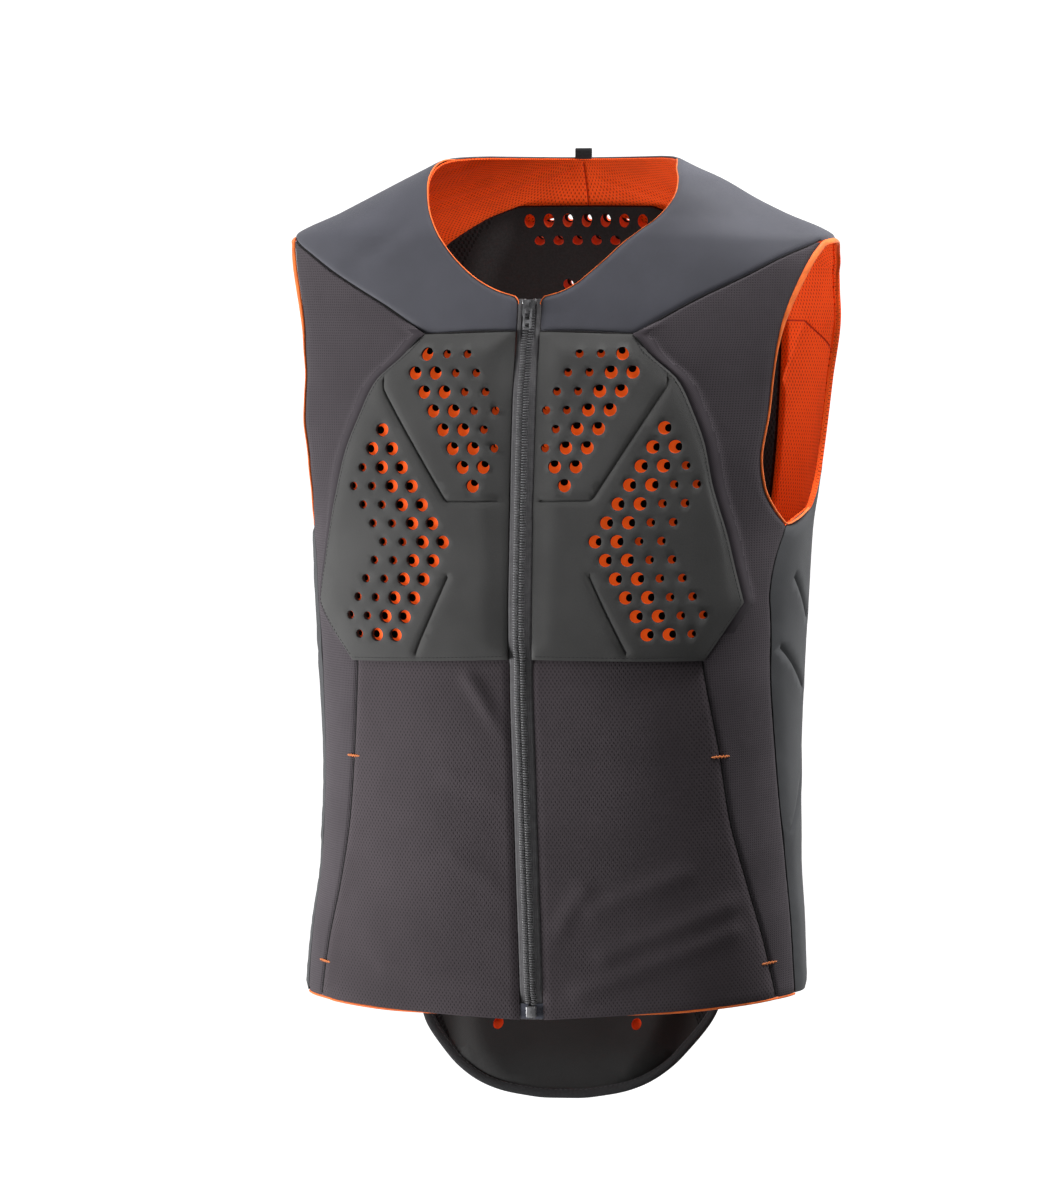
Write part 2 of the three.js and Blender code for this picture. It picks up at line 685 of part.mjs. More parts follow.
// Slider with its bail, and the puller that swings on it
const sliderGroup = onZip(sliderZ);
const sliderFront = slider.inside + slider.plate;
const bailUnder = sliderFront + bail.clear;
const bailTop = bailUnder + bail.bar;
const halfSlider = slider.height / 2;
const postWidth = 2.2;
const overlap = 0.4;
const sliderParts = [
  block(slider.width, slider.inside, sliderFront, -halfSlider, halfSlider),
  block(slider.width, -sliderFront, -slider.inside, -halfSlider, halfSlider),
  block(postWidth, -slider.inside - overlap, slider.inside + overlap, halfSlider - 2.6, halfSlider - 0.4),
  block(bail.width, sliderFront - overlap, bailUnder + overlap, -bail.reach, -bail.reach + bail.bar),
  block(bail.width, sliderFront - overlap, bailUnder + overlap, bail.reach - bail.bar, bail.reach),
  block(bail.width, bailUnder, bailTop, -bail.reach, bail.reach),
];
addPiece('zip_slider', joined(sliderParts), 'metal', sliderGroup);

// The puller in the plane of the zip: a bar under the bail, two legs, and a tab with an eye
const pullerHalf = puller.inside / 2 + puller.leg;
const pullerShape = new THREE.Shape();
const tabFoot = -puller.length;
const barTop = puller.bar / 2;
pullerShape.moveTo(-pullerHalf, barTop);
pullerShape.lineTo(-pullerHalf, tabFoot + 1.5);
pullerShape.lineTo(-pullerHalf + 1.5, tabFoot);
pullerShape.lineTo(pullerHalf - 1.5, tabFoot);
pullerShape.lineTo(pullerHalf, tabFoot + 1.5);
pullerShape.lineTo(pullerHalf, barTop);
const slot = (top, bottom, width) => new THREE.Path([
  new THREE.Vector2(-width / 2, top),
  new THREE.Vector2(width / 2, top),
  new THREE.Vector2(width / 2, bottom),
  new THREE.Vector2(-width / 2, bottom),
]);
const windowTop = -puller.bar / 2;
pullerShape.holes.push(slot(windowTop, windowTop - puller.window, puller.inside));
pullerShape.holes.push(slot(tabFoot + 5.2, tabFoot + 1.8, puller.eye));
const pullerGeometry = new THREE.ExtrudeGeometry(pullerShape, { depth: puller.thickness, bevelEnabled: false });
pullerGeometry.rotateX(Math.PI / 2).translate(0, puller.thickness / 2 - pullerHinge.out, pullerHinge.z);
const bare = new THREE.BufferGeometry();
bare.setAttribute('position', pullerGeometry.attributes.position);
addPiece('zip_puller', mergeVertices(bare), 'metal', sliderGroup);

// Ribbon loop to hang the vest by, standing on the edge of the back neck
const neckBack = formPoint(halfRound(neckBackZ), neckBackZ);
const loopShape = new THREE.Shape();
const loopFoot = -loop.height;
loopShape.moveTo(0, 0);
loopShape.lineTo(0, loopFoot);
loopShape.lineTo(loop.ribbon, loopFoot);
loopShape.lineTo(loop.ribbon, -loop.ribbon);
loopShape.lineTo(loop.depth - loop.ribbon, -loop.ribbon);
loopShape.lineTo(loop.depth - loop.ribbon, loopFoot);
loopShape.lineTo(loop.depth, loopFoot);
loopShape.lineTo(loop.depth, 0);
const loopGeometry = new THREE.ExtrudeGeometry(loopShape, { depth: loop.width, bevelEnabled: false });
loopGeometry.translate(0, 0, -loop.width / 2).rotateY(Math.PI / 2).rotateX(Math.PI / 2);
const loopBare = new THREE.BufferGeometry();
loopBare.setAttribute('position', loopGeometry.attributes.position);
loopBare.translate(0, neckBack.y - loop.depth / 2 + loop.out, neckBack.z + loop.above);
addPiece('hanger_loop', mergeVertices(loopBare), 'black');

export default vest;
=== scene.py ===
import math

import bmesh
import bpy
import numpy as np
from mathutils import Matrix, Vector
from mathutils.geometry import delaunay_2d_cdt


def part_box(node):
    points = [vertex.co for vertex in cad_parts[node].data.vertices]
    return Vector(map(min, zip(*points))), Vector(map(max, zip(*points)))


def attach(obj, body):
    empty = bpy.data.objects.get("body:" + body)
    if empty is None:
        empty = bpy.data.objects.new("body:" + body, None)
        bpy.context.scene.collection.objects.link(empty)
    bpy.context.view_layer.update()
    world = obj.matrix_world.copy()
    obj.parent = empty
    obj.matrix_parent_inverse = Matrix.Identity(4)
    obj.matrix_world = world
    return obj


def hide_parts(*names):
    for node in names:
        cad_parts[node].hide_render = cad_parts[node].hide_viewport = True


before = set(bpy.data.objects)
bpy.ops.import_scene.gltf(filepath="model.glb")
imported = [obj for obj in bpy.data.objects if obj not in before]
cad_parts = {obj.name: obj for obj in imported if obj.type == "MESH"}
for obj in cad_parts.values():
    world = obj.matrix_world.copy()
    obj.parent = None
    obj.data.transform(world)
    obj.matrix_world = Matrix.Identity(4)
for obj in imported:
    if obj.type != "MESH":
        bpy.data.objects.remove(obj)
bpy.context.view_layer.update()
print("frame loaded")

# All lengths below are in millimetres on the worn form, and meshes are made in metres.
metre = 0.001
vestBody = "vest"
pullerBody = "puller"

# Camera at the photo's angle
cameraView = {"azimuth": 15.4, "elevation": 6, "distance": 3000, "lookAtZ": -345,
              "focalPixels": 3810, "lookAtPixel": (561, 602), "image": (1057, 1200)}


def addCamera(view):
    turn = math.radians(view["azimuth"])
    rise = math.radians(view["elevation"])
    width, height = view["image"]
    away = Vector((math.sin(turn) * math.cos(rise), -math.cos(turn) * math.cos(rise), math.sin(rise)))
    target = Vector((0, 0, view["lookAtZ"] * metre))
    data = bpy.data.cameras.new("camera")
    data.sensor_width = 36
    data.lens = view["focalPixels"] / height * data.sensor_width
    data.shift_x = (width / 2 - view["lookAtPixel"][0]) / height
    data.shift_y = (view["lookAtPixel"][1] - height / 2) / height
    data.clip_end = 50
    camera = bpy.data.objects.new("camera", data)
    camera.location = target + away * view["distance"] * metre
    camera.rotation_euler = (-away).to_track_quat("-Z", "Y").to_euler()
    bpy.context.scene.collection.objects.link(camera)
    bpy.context.scene.camera = camera


addCamera(cameraView)
print("camera placed")

# The worn form: level sections from the tail up to the neck, each with its height, half width,
# depth in front, depth behind and squareness
formRows = np.array([
    (-770, 205, 80, 28, 2.3), (-720, 205, 82, 51, 2.3), (-668, 203, 84, 78, 2.3),
    (-610, 198, 90, 90, 2.35), (-545, 190, 98, 91, 2.4), (-465, 187.5, 106, 96, 2.45),
    (-390, 189.5, 113, 103, 2.5), (-345, 191.5, 113, 108, 2.55), (-290, 194, 110, 114, 2.6),
    (-235, 203, 106, 118, 2.6), (-173, 213, 99, 117, 2.5), (-115, 222, 90, 108, 2.4),
    (-85, 222.5, 84, 102, 2.3), (-61, 216, 78, 96, 2.2), (-42, 177, 71, 88, 2.1),
    (-18.5, 130, 63, 79, 2.05), (2, 90, 54, 68, 2), (12, 76, 46, 58, 2),
], float)


def smoothAt(places, values, at):
    # smooth curve through the values that never overshoots
    places = np.asarray(places, float)
    values = np.asarray(values, float)
    steps = np.diff(places)
    slopes = np.diff(values) / steps
    tangents = np.zeros(len(values))
    tangents[0], tangents[-1] = slopes[0], slopes[-1]
    before, after = slopes[:-1], slopes[1:]
    same = before * after > 0
    tangents[1:-1][same] = 2 * before[same] * after[same] / (before[same] + after[same])
    at = np.clip(at, places[0], places[-1])
    i = np.clip(np.searchsorted(places, at, side="right") - 1, 0, len(places) - 2)
    t = (at - places[i]) / steps[i]
    start = (1 + 2 * t) * (1 - t) ** 2 * values[i] + t * (1 - t) ** 2 * steps[i] * tangents[i]
    end = t * t * (3 - 2 * t) * values[i + 1] - t * t * (1 - t) * steps[i] * tangents[i + 1]
    return start + end


def smoothPieces(places, values, at, corners):
    # the same, with a sharp corner at each place in corners
    places = np.asarray(places, float)
    values = np.asarray(values, float)
    at = np.asarray(at, float)
    cuts = [0] + [int(np.argmin(abs(places - c))) for c in corners] + [len(places) - 1]
    result = np.zeros(at.shape)
    for low, high in zip(cuts[:-1], cuts[1:]):
        here = (at >= places[low]) & (at <= places[high])
        result[here] = smoothAt(places[low:high + 1], values[low:high + 1], at[here])
    result[at < places[0]] = values[0]
    result[at > places[-1]] = values[-1]
    return result


def smoothStep(value, low, high):
    t = np.clip((value - low) / (high - low), 0, 1)
    return t * t * (3 - 2 * t)


def hump(distance, width):
    return np.exp(-(distance / width) ** 2)


def unit(vectors):
    return vectors / np.linalg.norm(vectors, axis=-1, keepdims=True)


hem = -662
zipHalf = 9.6
hemRise = {"height": 10, "top": -520, "side": (199, 221), "back": 340}
formLow = -790.0
formHigh = 24.0
formReach = 1200
formSteps = 360


def traceForm():
    # the form's x and y for each millimetre of height and of distance round from the centre front
    levels = np.arange(formLow, formHigh + 1)
    reach = np.arange(formReach, dtype=float)
    turn = np.linspace(0, math.pi, formSteps + 1)
    halfWidth, front, back, square = (smoothAt(formRows[:, 0], formRows[:, k], levels) for k in range(1, 5))
    xs, ys, whole, side, lengths = [], [], [], [], []
    for k in range(len(levels)):
        power = 2 / square[k]
        c = np.cos(turn)
        x = halfWidth[k] * np.abs(np.sin(turn)) ** power
        y = np.where(c > 0, -front[k], back[k]) * np.abs(c) ** power
        x = np.concatenate([x, -x[-2::-1]])
        y = np.concatenate([y, y[-2::-1]])
        length = np.concatenate([[0], np.cumsum(np.hypot(np.diff(x), np.diff(y)))])
        xs.append(np.interp(reach, length, x))
        ys.append(np.interp(reach, length, y))
        whole.append(length[formSteps])
        side.append(length[formSteps // 2])
        lengths.append(length[:formSteps // 2 + 2])
    shape = np.stack([halfWidth, front, square], 1)
    return np.array(xs), np.array(ys), np.array(whole), np.array(side), np.array(lengths), shape


formX, formY, formWhole, formSide, formLengths, formShape = traceForm()


def levelOf(z):
    at = np.clip(np.asarray(z, float) - formLow, 0, len(formWhole) - 1.001)
    row = at.astype(int)
    return row, at - row


def atLevel(table, z):
    row, t = levelOf(z)
    return table[row] * (1 - t) + table[row + 1] * t


def halfRound(z):
    return atLevel(formWhole, z)


def sideRound(z):
    return atLevel(formSide, z)


def hemLift(around, z):
    # the hem rises from the zip to the sides and falls again behind them
    front = np.clip((around - zipHalf) / (hemRise["side"][0] - zipHalf), 0, 1)
    back = np.clip((around - hemRise["side"][1]) / (hemRise["back"] - hemRise["side"][1]), 0, 1)
    return hemRise["height"] * (front - back) * smoothStep(-z, -hemRise["top"], -hem)


def formPoint(around, z):
    around, z = np.broadcast_arrays(np.asarray(around, float), np.asarray(z, float))
    row, t = levelOf(z)
    reach = np.clip(np.abs(around), 0, formReach - 1.001)
    column = reach.astype(int)
    s = reach - column
    out = []
    for table in (formX, formY):
        low = table[row, column] * (1 - s) + table[row, column + 1] * s
        high = table[row + 1, column] * (1 - s) + table[row + 1, column + 1] * s
        out.append(low * (1 - t) + high * t)
    out[0] = np.where(around < 0, -out[0], out[0])
    whole = halfRound(z)
    reach = np.where(reach > whole, 2 * whole - reach, reach)
    return np.stack([out[0], out[1], z + hemLift(reach, z)], -1)


def formNormal(around, z):
    reach = 3.0
    across = formPoint(around + reach, z) - formPoint(around - reach, z)
    up = formPoint(around, z + reach) - formPoint(around, z - reach)
    return unit(np.cross(across, up))


def onForm(around, z, out):
    around, z = np.broadcast_arrays(np.asarray(around, float), np.asarray(z, float))
    return formPoint(around, z) + formNormal(around, z) * np.broadcast_to(out, around.shape)[..., None]


def turnOf(around, z):
    side, whole = sideRound(z), halfRound(z)
    return np.where(around < side, around / side, 1 + (around - side) / (whole - side))


def aroundOf(turn, z):
    side, whole = sideRound(z), halfRound(z)
    return np.where(turn < 1, turn * side, side + (turn - 1) * (whole - side))


def between(fromAround, fromZ, toAround, toZ, share):
    z = fromZ + (toZ - fromZ) * share
    turnA, turnB = turnOf(fromAround, fromZ), turnOf(toAround, toZ)
    return aroundOf(turnA + (turnB - turnA) * share, z), z


print("form traced")

# Pattern of the vest: seams by height, then the rear edge of the armhole and the yoke
padBottomAtZip = -377
padBottomAtSide = -380
padCorner = -337
padTopAtSide = -132
padTop = -130
armholeFoot = -282
seamZ = (hem, -610, -560, -500, -440, padBottomAtSide, padCorner, -310, armholeFoot, -270, -250, -220, -194,
         -168, -150, padTopAtSide, -111, -90, -73, -62.9)
seamInner = (199, 186, 171, 155, 146, 139.5, 174, 169, 163.5, 160.3, 154.6, 146, 134.5, 121, 100.5, 80,
             118, 160, 193, 219)
seamOuter = (221, 218, 214, 207, 202, 199, 200, 204, 213, 201, 190, 184.5, 186.5, 187.5, 188.5, 190.5,
             197, 205.5, 214.5, 223.6)
rearZ = (-272, -250, -220, -190, -160, -132, -107, -84)
rearAround = (264, 289, 302, 307, 310, 311, 310, 304)
yokeNeck = (zipHalf, 24, 41, 57, 68, 78, 88, 96, 104, 115, 128, 143, 158)
yokeNeckZ = (-104, -100, -92, -80, -69, -57, -41, -22, -7, 0, 2, 3, 3.5)
yokeEdge = (zipHalf, 33, 57, 80, 118, 160, 193, 224, 235, 248, 263, 284, 304)
yokeEdgeZ = (-130, -130, -131, padTopAtSide, -111, -90, -73, -61, -60, -59.5, -61, -68, -84)
yokeCorner = 3
yokeArmFront = 7
neckBackZ = 3
yokeBackZ = -36


def innerSeam(z):
    return smoothPieces(seamZ, seamInner, z, (padBottomAtSide, padCorner, padTopAtSide))


def outerSeam(z):
    return smoothPieces(seamZ, seamOuter, z, (armholeFoot,))


def rearEdge(z):
    return smoothAt(rearZ, rearAround, z)


# The vest hangs a little lower on the wearer's right, its lower part is turned a little about the zip,
# and its hem is pulled in on the left
hang = {"z": (-662, -456, -300, -200, -100, -60), "slope": (0.04, 0.034, 0.026, 0.023, 0.004, 0), "zipY": -84,
        "turn": 0.035, "turnBelow": (430, 660), "tailTurn": 0.016, "tailBelow": (655, 700),
        "pullIn": 6, "pullBelow": (520, 655), "pullSide": 200}

# The two halves of the front are stretched unevenly. near moves cloth outwards all the way from the zip to
# the side, and far only at the side, measured from the seam there.
stretch = {
    "near": (9.2, 12.5, 150, 235), "growth": 0.4, "growFrom": 60, "ahead": 15, "leastSize": 0.2,
    "far": (-26, -4, 8, 60), "farEnd": (205, 235), "farFade": 10,
    "z": (-662, -600, -520, -456, -390, -337, -300, -250, -200, -147, -132, -110),
    "rightNear": (0, 0, 0, 0, 0.5, 1.8, 3.2, 5.2, 5.8, 4.6, 2.4, 0),
    "rightFar": (-11, -6, -1, 1.5, 1, 6, 0, -5.5, -7, -5, 0, 0),
    "leftNear": (0, 0, 0, 0, -1, -0.5, 0.6, 1.3, 1.7, 1.6, 1.6, 0),
    "leftFar": (0, 0.5, 1.5, 3.5, 1, -5, -9.5, -12.5, -8.5, -5, 0, 0),
}


def stretched(points):
    z = points[:, 2]
    row, t = levelOf(z)
    width, depth, square = (formShape[row] * (1 - t[:, None]) + formShape[row + 1] * t[:, None]).T
    across, ahead = np.abs(points[:, 0]), np.maximum(-points[:, 1], 0)
    size = ((across / width) ** square + (ahead / depth) ** square) ** (1 / square)
    sine = np.clip(across / width / np.maximum(size, stretch["leastSize"]), 0, 1) ** (square / 2)
    turn = np.arcsin(sine) / math.pi * formSteps
    step = np.minimum(turn.astype(int), formSteps // 2)
    around = formLengths[row, step] + (formLengths[row, step + 1] - formLengths[row, step]) * (turn - step)
    a, b, c, d = stretch["near"]
    growth = 1 + stretch["growth"] * smoothStep(around, stretch["growFrom"], c)
    near = smoothStep(around, a, b) * growth * (1 - smoothStep(around, c, d))
    a, b, c, d = stretch["far"]
    seam = innerSeam(z)
    end = np.clip(seam + d, *stretch["farEnd"])
    fade = 1 - smoothStep(around, np.minimum(seam + c, end - stretch["farFade"]), end)
    far = smoothStep(around - seam, a, b) * fade
    move = {}
    for side in ("left", "right"):
        nearMove, farMove = (smoothAt(stretch["z"], stretch[side + reach], z) for reach in ("Near", "Far"))
        move[side] = nearMove * near + farMove * far
    onRight = points[:, 0] < 0
    moved = np.where(onRight, move["right"], move["left"]) * smoothStep(ahead, 0, stretch["ahead"])
    sign = np.where(onRight, -1, 1)
    shift = formPoint(sign * (around + moved), z) - formPoint(sign * around, z)
    return points + shift * (1, 1, 0)


# On the wearer's right the front of the armhole stands off, and on the left the side of the neck lies wider.
gape = {"z": (-275, -250, -227, -204, -180, -157, -138, -114, -90, -70),
        "out": (0, 5, 9.8, 10.6, 7.4, 4.1, 4.1, 3, 1.5, 0), "side": (150, 205), "behind": (0, 90)}
neckSide = {"z": (-110, -98, -80, -65, -52, -45, -27, -14, -4, 4),
            "out": (0, -2, -5, -4, 2, 7, 12, 8, 2, 0),
            "inside": (15, 50), "outside": (100, 165), "behind": (-5, 30)}


def hung(points):
    points = stretched(np.array(points, float))
    x, y, z = points.T
    atArm = smoothStep(-x, *gape["side"]) * (1 - smoothStep(y, *gape["behind"]))
    atNeck = smoothStep(x, *neckSide["inside"]) * (1 - smoothStep(x, *neckSide["outside"]))
    atNeck = atNeck * (1 - smoothStep(y, *neckSide["behind"]))
    wider = smoothAt(neckSide["z"], neckSide["out"], z) * atNeck
    x = x + (wider - smoothAt(gape["z"], gape["out"], z) * atArm)
    turn = hang["turn"] * smoothStep(-z, *hang["turnBelow"])
    turn += hang["tailTurn"] * smoothStep(-z, *hang["tailBelow"])
    x = x - hang["pullIn"] * np.clip(x / hang["pullSide"], 0, 1) * smoothStep(-z, *hang["pullBelow"])
    z = z + x * smoothAt(hang["z"], hang["slope"], z)
    y = y - hang["zipY"]
    return np.stack([x * np.cos(turn) - y * np.sin(turn),
                     hang["zipY"] + x * np.sin(turn) + y * np.cos(turn), z], 1)


# Mesh helpers
flatScale = 0.01


def addMesh(name, points, faces, flat, lookNames, slots=None, crease=48, worn=True):
    mesh = bpy.data.meshes.new(name)
    mesh.from_pydata((np.asarray(hung(points) if worn else points) * metre).tolist(), [], faces)
    layer = mesh.uv_layers.new(name="flat")
    loops = np.empty(len(mesh.loops), np.int32)
    mesh.loops.foreach_get("vertex_index", loops)
    layer.data.foreach_set("uv", (np.asarray(flat)[loops] * flatScale).astype(np.float32).ravel())
    for look in lookNames:
        mesh.materials.append(looks[look])
    if slots is not None:
        mesh.polygons.foreach_set("material_index", np.asarray(slots, np.int32))
    mesh.polygons.foreach_set("use_smooth", np.ones(len(mesh.polygons), bool))
    turned = bmesh.new()
    turned.from_mesh(mesh)
    bmesh.ops.recalc_face_normals(turned, faces=turned.faces)
    turned.to_mesh(mesh)
    turned.free()
    mesh.set_sharp_from_angle(angle=math.radians(crease))
    piece = bpy.data.objects.new(name, mesh)
    bpy.context.scene.collection.objects.link(piece)
    return piece


def place(piece, slot, nodes=(), body=vestBody):
    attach(piece, body)
    if nodes:
        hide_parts(*nodes)
    return piece


def onSide(side, points):
    # pieces are shaped on the wearer's left and mirrored for the right
    return points if side == "left" else np.asarray(points) * (-1, 1, 1)


def addPair(start, end, solid, lookNames, slot, replacing=True, slots=None, crease=48):
    # the same shape on both sides
    points, faces, flat = solid
    pieces = []
    for side in ("left", "right"):
        piece = addMesh(start + side + end, onSide(side, points), faces, flat, lookNames, slots, crease)
        pieces.append(place(piece, slot, [start + side] if replacing else ()))
    return pieces


def gridFaces(rows, columns, first=0):
    faces = []
    for i in range(rows - 1):
        for j in range(columns - 1):
            a = first + i * columns + j
            faces.append((a, a + 1, a + columns + 1, a + columns))
    return faces


def shellFaces(rows, columns):
    # outer grid, inner grid and the four edges between them
    count = rows * columns
    faces = gridFaces(rows, columns)
    faces += [tuple(reversed(f)) for f in gridFaces(rows, columns, count)]
    edge = list(range(columns))
    edge += [i * columns + columns - 1 for i in range(1, rows)]
    edge += [(rows - 1) * columns + j for j in range(columns - 2, -1, -1)]
    edge += [i * columns for i in range(rows - 2, 0, -1)]
    for a, b in zip(edge, edge[1:] + edge[:1]):
        faces.append((a, a + count, b + count, b))
    return faces


def shell(around, z, outer, inner):
    # closed wall over a grid of places on the form
    rows, columns = around.shape
    outer = np.broadcast_to(outer, around.shape)
    inner = np.broadcast_to(inner, around.shape)
    top = onForm(around, z, outer).reshape(-1, 3)
    low = onForm(around, z, inner).reshape(-1, 3)
    return np.concatenate([top, low]), shellFaces(rows, columns)


def gridPlaces(around, z):
    return np.stack([around, z], -1).reshape(-1, 2)


def lengthsAlong(line):
    return np.concatenate([[0], np.cumsum(np.linalg.norm(np.diff(line, axis=0), axis=1))])


def pointsAt(at, length, points):
    return np.stack([np.interp(at, length, points[:, k]) for k in range(points.shape[1])], 1)


def flatLengths(around, z):
    # cut lengths along the rows and columns of a grid, for weaves on sloping cloth
    points = formPoint(around, z)
    down = np.linalg.norm(np.diff(points, axis=1), axis=-1).cumsum(1)
    along = np.linalg.norm(np.diff(points, axis=0), axis=-1).cumsum(0)
    down = np.concatenate([np.zeros((len(points), 1)), down], 1)
    along = np.concatenate([np.zeros((1, points.shape[1])), along], 0).mean(1, keepdims=True)
    return np.stack([np.broadcast_to(along, down.shape), down], -1).reshape(-1, 2)


def lineDistance(places, line, closed=False):
    line = np.asarray(line, float)
    ends = np.roll(line, -1, 0) if closed else line[1:]
    starts = line if closed else line[:-1]
    best = np.full(len(places), 1e9)
    for a, b in zip(starts, ends):
        span = b - a
        t = np.clip(((places - a) @ span) / max(span @ span, 1e-9), 0, 1)
        best = np.minimum(best, np.linalg.norm(places - a - t[:, None] * span, axis=1))
    return best


def insideOutline(places, outline):
    x, y = places[:, 0], places[:, 1]
    inside = np.zeros(len(places), bool)
    for (x0, y0), (x1, y1) in zip(outline, np.roll(outline, -1, 0)):
        crosses = (y0 > y) != (y1 > y)
        at = x0 + (y - y0) / (y1 - y0 if y1 != y0 else 1e-9) * (x1 - x0)
        inside ^= crosses & (x < at)
    return inside


def resample(line, step, closed=False):
    line = np.asarray(line, float)
    if closed:
        line = np.concatenate([line, line[:1]])
    length = lengthsAlong(line)
    count = max(2, int(round(length[-1] / step)) + 1)
    points = pointsAt(np.linspace(0, length[-1], count), length, line)
    return points[:-1] if closed else points


def circle(center, radius, sides):
    turn = np.arange(sides) * 2 * math.pi / sides
    return np.asarray(center) + radius * np.stack([np.cos(turn), np.sin(turn)], 1)


def cutPanel(outline, holes, lines, spacing):
    # triangles over a flat outline with round holes. Returns places, triangles, outline and hole loops.
    loops = [np.asarray(outline)] + [np.asarray(h) for h in holes]
    low, high = loops[0].min(0), loops[0].max(0)
    rise = spacing * math.sqrt(3) / 2
    rows = np.arange(low[1], high[1], rise)
    fill = []
    for k, y in enumerate(rows):
        x = np.arange(low[0] + (k % 2) * spacing / 2, high[0], spacing)
        fill.append(np.stack([x, np.full(len(x), y)], 1))
    fill = np.concatenate(fill)
    fill = fill[insideOutline(fill, loops[0])]
    fill = fill[lineDistance(fill, loops[0], True) > spacing * 0.5]
    for hole in loops[1:]:
        middle = hole.mean(0)
        radius = np.linalg.norm(hole[0] - middle)
        fill = fill[np.linalg.norm(fill - middle, axis=1) > radius + spacing * 0.35]
    for line in lines:
        if len(fill):
            gap = np.linalg.norm(fill[:, None] - line[None], axis=2).min(1)
            fill = fill[gap > spacing * 0.35]
    places = np.concatenate(loops + list(lines) + [fill])
    edges = []
    first = 0
    for loop in loops:
        count = len(loop)
        edges += [(first + k, first + (k + 1) % count) for k in range(count)]
        first += count
    found = delaunay_2d_cdt([Vector(p) for p in places], edges, [], 0, 1e-5)
    newPlaces = np.array([tuple(v) for v in found[0]])
    where = {}
    for k, origins in enumerate(found[3]):
        for origin in origins:
            where[origin] = k
    triangles = np.array([f for f in found[2] if len(f) == 3])
    middles = newPlaces[triangles].mean(1)
    keep = insideOutline(middles, loops[0])
    for hole in loops[1:]:
        keep &= ~insideOutline(middles, hole)
    indexed = []
    first = 0
    for loop in loops:
        indexed.append([where[first + k] for k in range(len(loop))])
        first += len(loop)
    return newPlaces, triangles[keep], indexed


def tube(path, normals, side, width, height, sides, closed=False):
    # rounded strip along a path in space: width across the path, height along the normal
    turn = np.arange(sides) * 2 * math.pi / sides
    count = len(path)
    width = np.broadcast_to(width, count)
    height = np.broadcast_to(height, count)
    rings = (path[:, None] + side[:, None] * (np.cos(turn) * width[:, None] / 2)[..., None]
             + normals[:, None] * (np.sin(turn) * height[:, None] / 2)[..., None])
    faces = []
    for i in range(count if closed else count - 1):
        for j in range(sides):
            a, b = i * sides + j, i * sides + (j + 1) % sides
            c, d = ((i + 1) % count) * sides + (j + 1) % sides, ((i + 1) % count) * sides + j
            faces.append((a, b, c, d))
    if not closed:
        faces.append(tuple(range(sides)))
        faces.append(tuple((count - 1) * sides + j for j in reversed(range(sides))))
    flat = np.stack([np.repeat(lengthsAlong(path), sides), (turn * width[:, None] / 2).ravel()], 1)
    return rings.reshape(-1, 3), faces, flat


def pathFrames(around, z, closed=False):
    # points, normals and sideways directions along a path on the form
    points = formPoint(around, z)
    normals = formNormal(around, z)
    if closed:
        along = np.roll(points, -1, 0) - np.roll(points, 1, 0)
    else:
        along = np.gradient(points, axis=0)
    return points, normals, unit(np.cross(along, normals))


def bead(sides=6):
    # a rounded thread or tooth of unit size, long in x
    reach = np.array([-0.36, 0, 0.36])
    girth = np.array([0.40, 0.5, 0.40])
    turn = np.arange(sides) * 2 * math.pi / sides
    points = [(-0.5, 0, 0)]
    for x, r in zip(reach, girth):
        points += [(x, r * math.cos(t), r * math.sin(t)) for t in turn]
    points.append((0.5, 0, 0))
    faces = []
    last = len(points) - 1
    for j in range(sides):
        k = (j + 1) % sides
        faces.append((0, 1 + k, 1 + j))
        for r in range(len(reach) - 1):
            a = 1 + r * sides
            faces.append((a + j, a + k, a + sides + k, a + sides + j))
        a = 1 + (len(reach) - 1) * sides
        faces.append((a + j, a + k, last))
    return np.array(points), faces


def manyBeads(centers, along, side, normals, length, width, height):
    # one bead at each centre, with its own directions
    shape, shapeFaces = bead()
    scaled = shape * (length, width, height)
    points = (centers[:, None] + along[:, None] * scaled[None, :, 0:1]
              + side[:, None] * scaled[None, :, 1:2] + normals[:, None] * scaled[None, :, 2:3])
    faces = []
    for k in range(len(centers)):
        first = k * len(shape)
        faces += [tuple(first + i for i in f) for f in shapeFaces]
    count = len(centers)
    flat = np.stack([np.tile(scaled[:, 0], count), np.repeat(np.arange(count) * length, len(shape))], 1)
    return points.reshape(-1, 3), faces, flat


def stitchRow(around, z, lift, stitch):
    # stitches along a path on the form, at a height above it
    step, reach = 2.0, 0.5
    line = resample(np.stack([around, z], 1), step)
    points = onForm(line[:, 0], line[:, 1], lift(line[:, 0], line[:, 1]))
    length = lengthsAlong(points)
    at = np.arange(stitch["pitch"] / 2, length[-1], stitch["pitch"])
    middle = pointsAt(at, length, line)
    normals = formNormal(middle[:, 0], middle[:, 1])
    along = unit(pointsAt(at + reach, length, points) - pointsAt(at - reach, length, points))
    return manyBeads(pointsAt(at, length, points), along, np.cross(normals, along), normals,
                     stitch["length"], stitch["width"], stitch["height"])


def joinParts(parts):
    points, faces, flat = [], [], []
    first = 0
    for p, f, uv in parts:
        points.append(p)
        flat.append(uv)
        faces += [tuple(first + i for i in face) for face in f]
        first += len(p)
    return np.concatenate(points), faces, np.concatenate(flat)


# Node helpers for the looks
def newLook(name, rough, specular=0.35, sheen=0.0, metallic=0.0):
    look = bpy.data.materials.new(name)
    look.use_nodes = True
    shader = look.node_tree.nodes["Principled BSDF"]
    shader.inputs["Roughness"].default_value = rough
    shader.inputs["Specular IOR Level"].default_value = specular
    shader.inputs["Sheen Weight"].default_value = sheen
    shader.inputs["Sheen Roughness"].default_value = 0.45
    shader.inputs["Metallic"].default_value = metallic
    return look, look.node_tree, shader


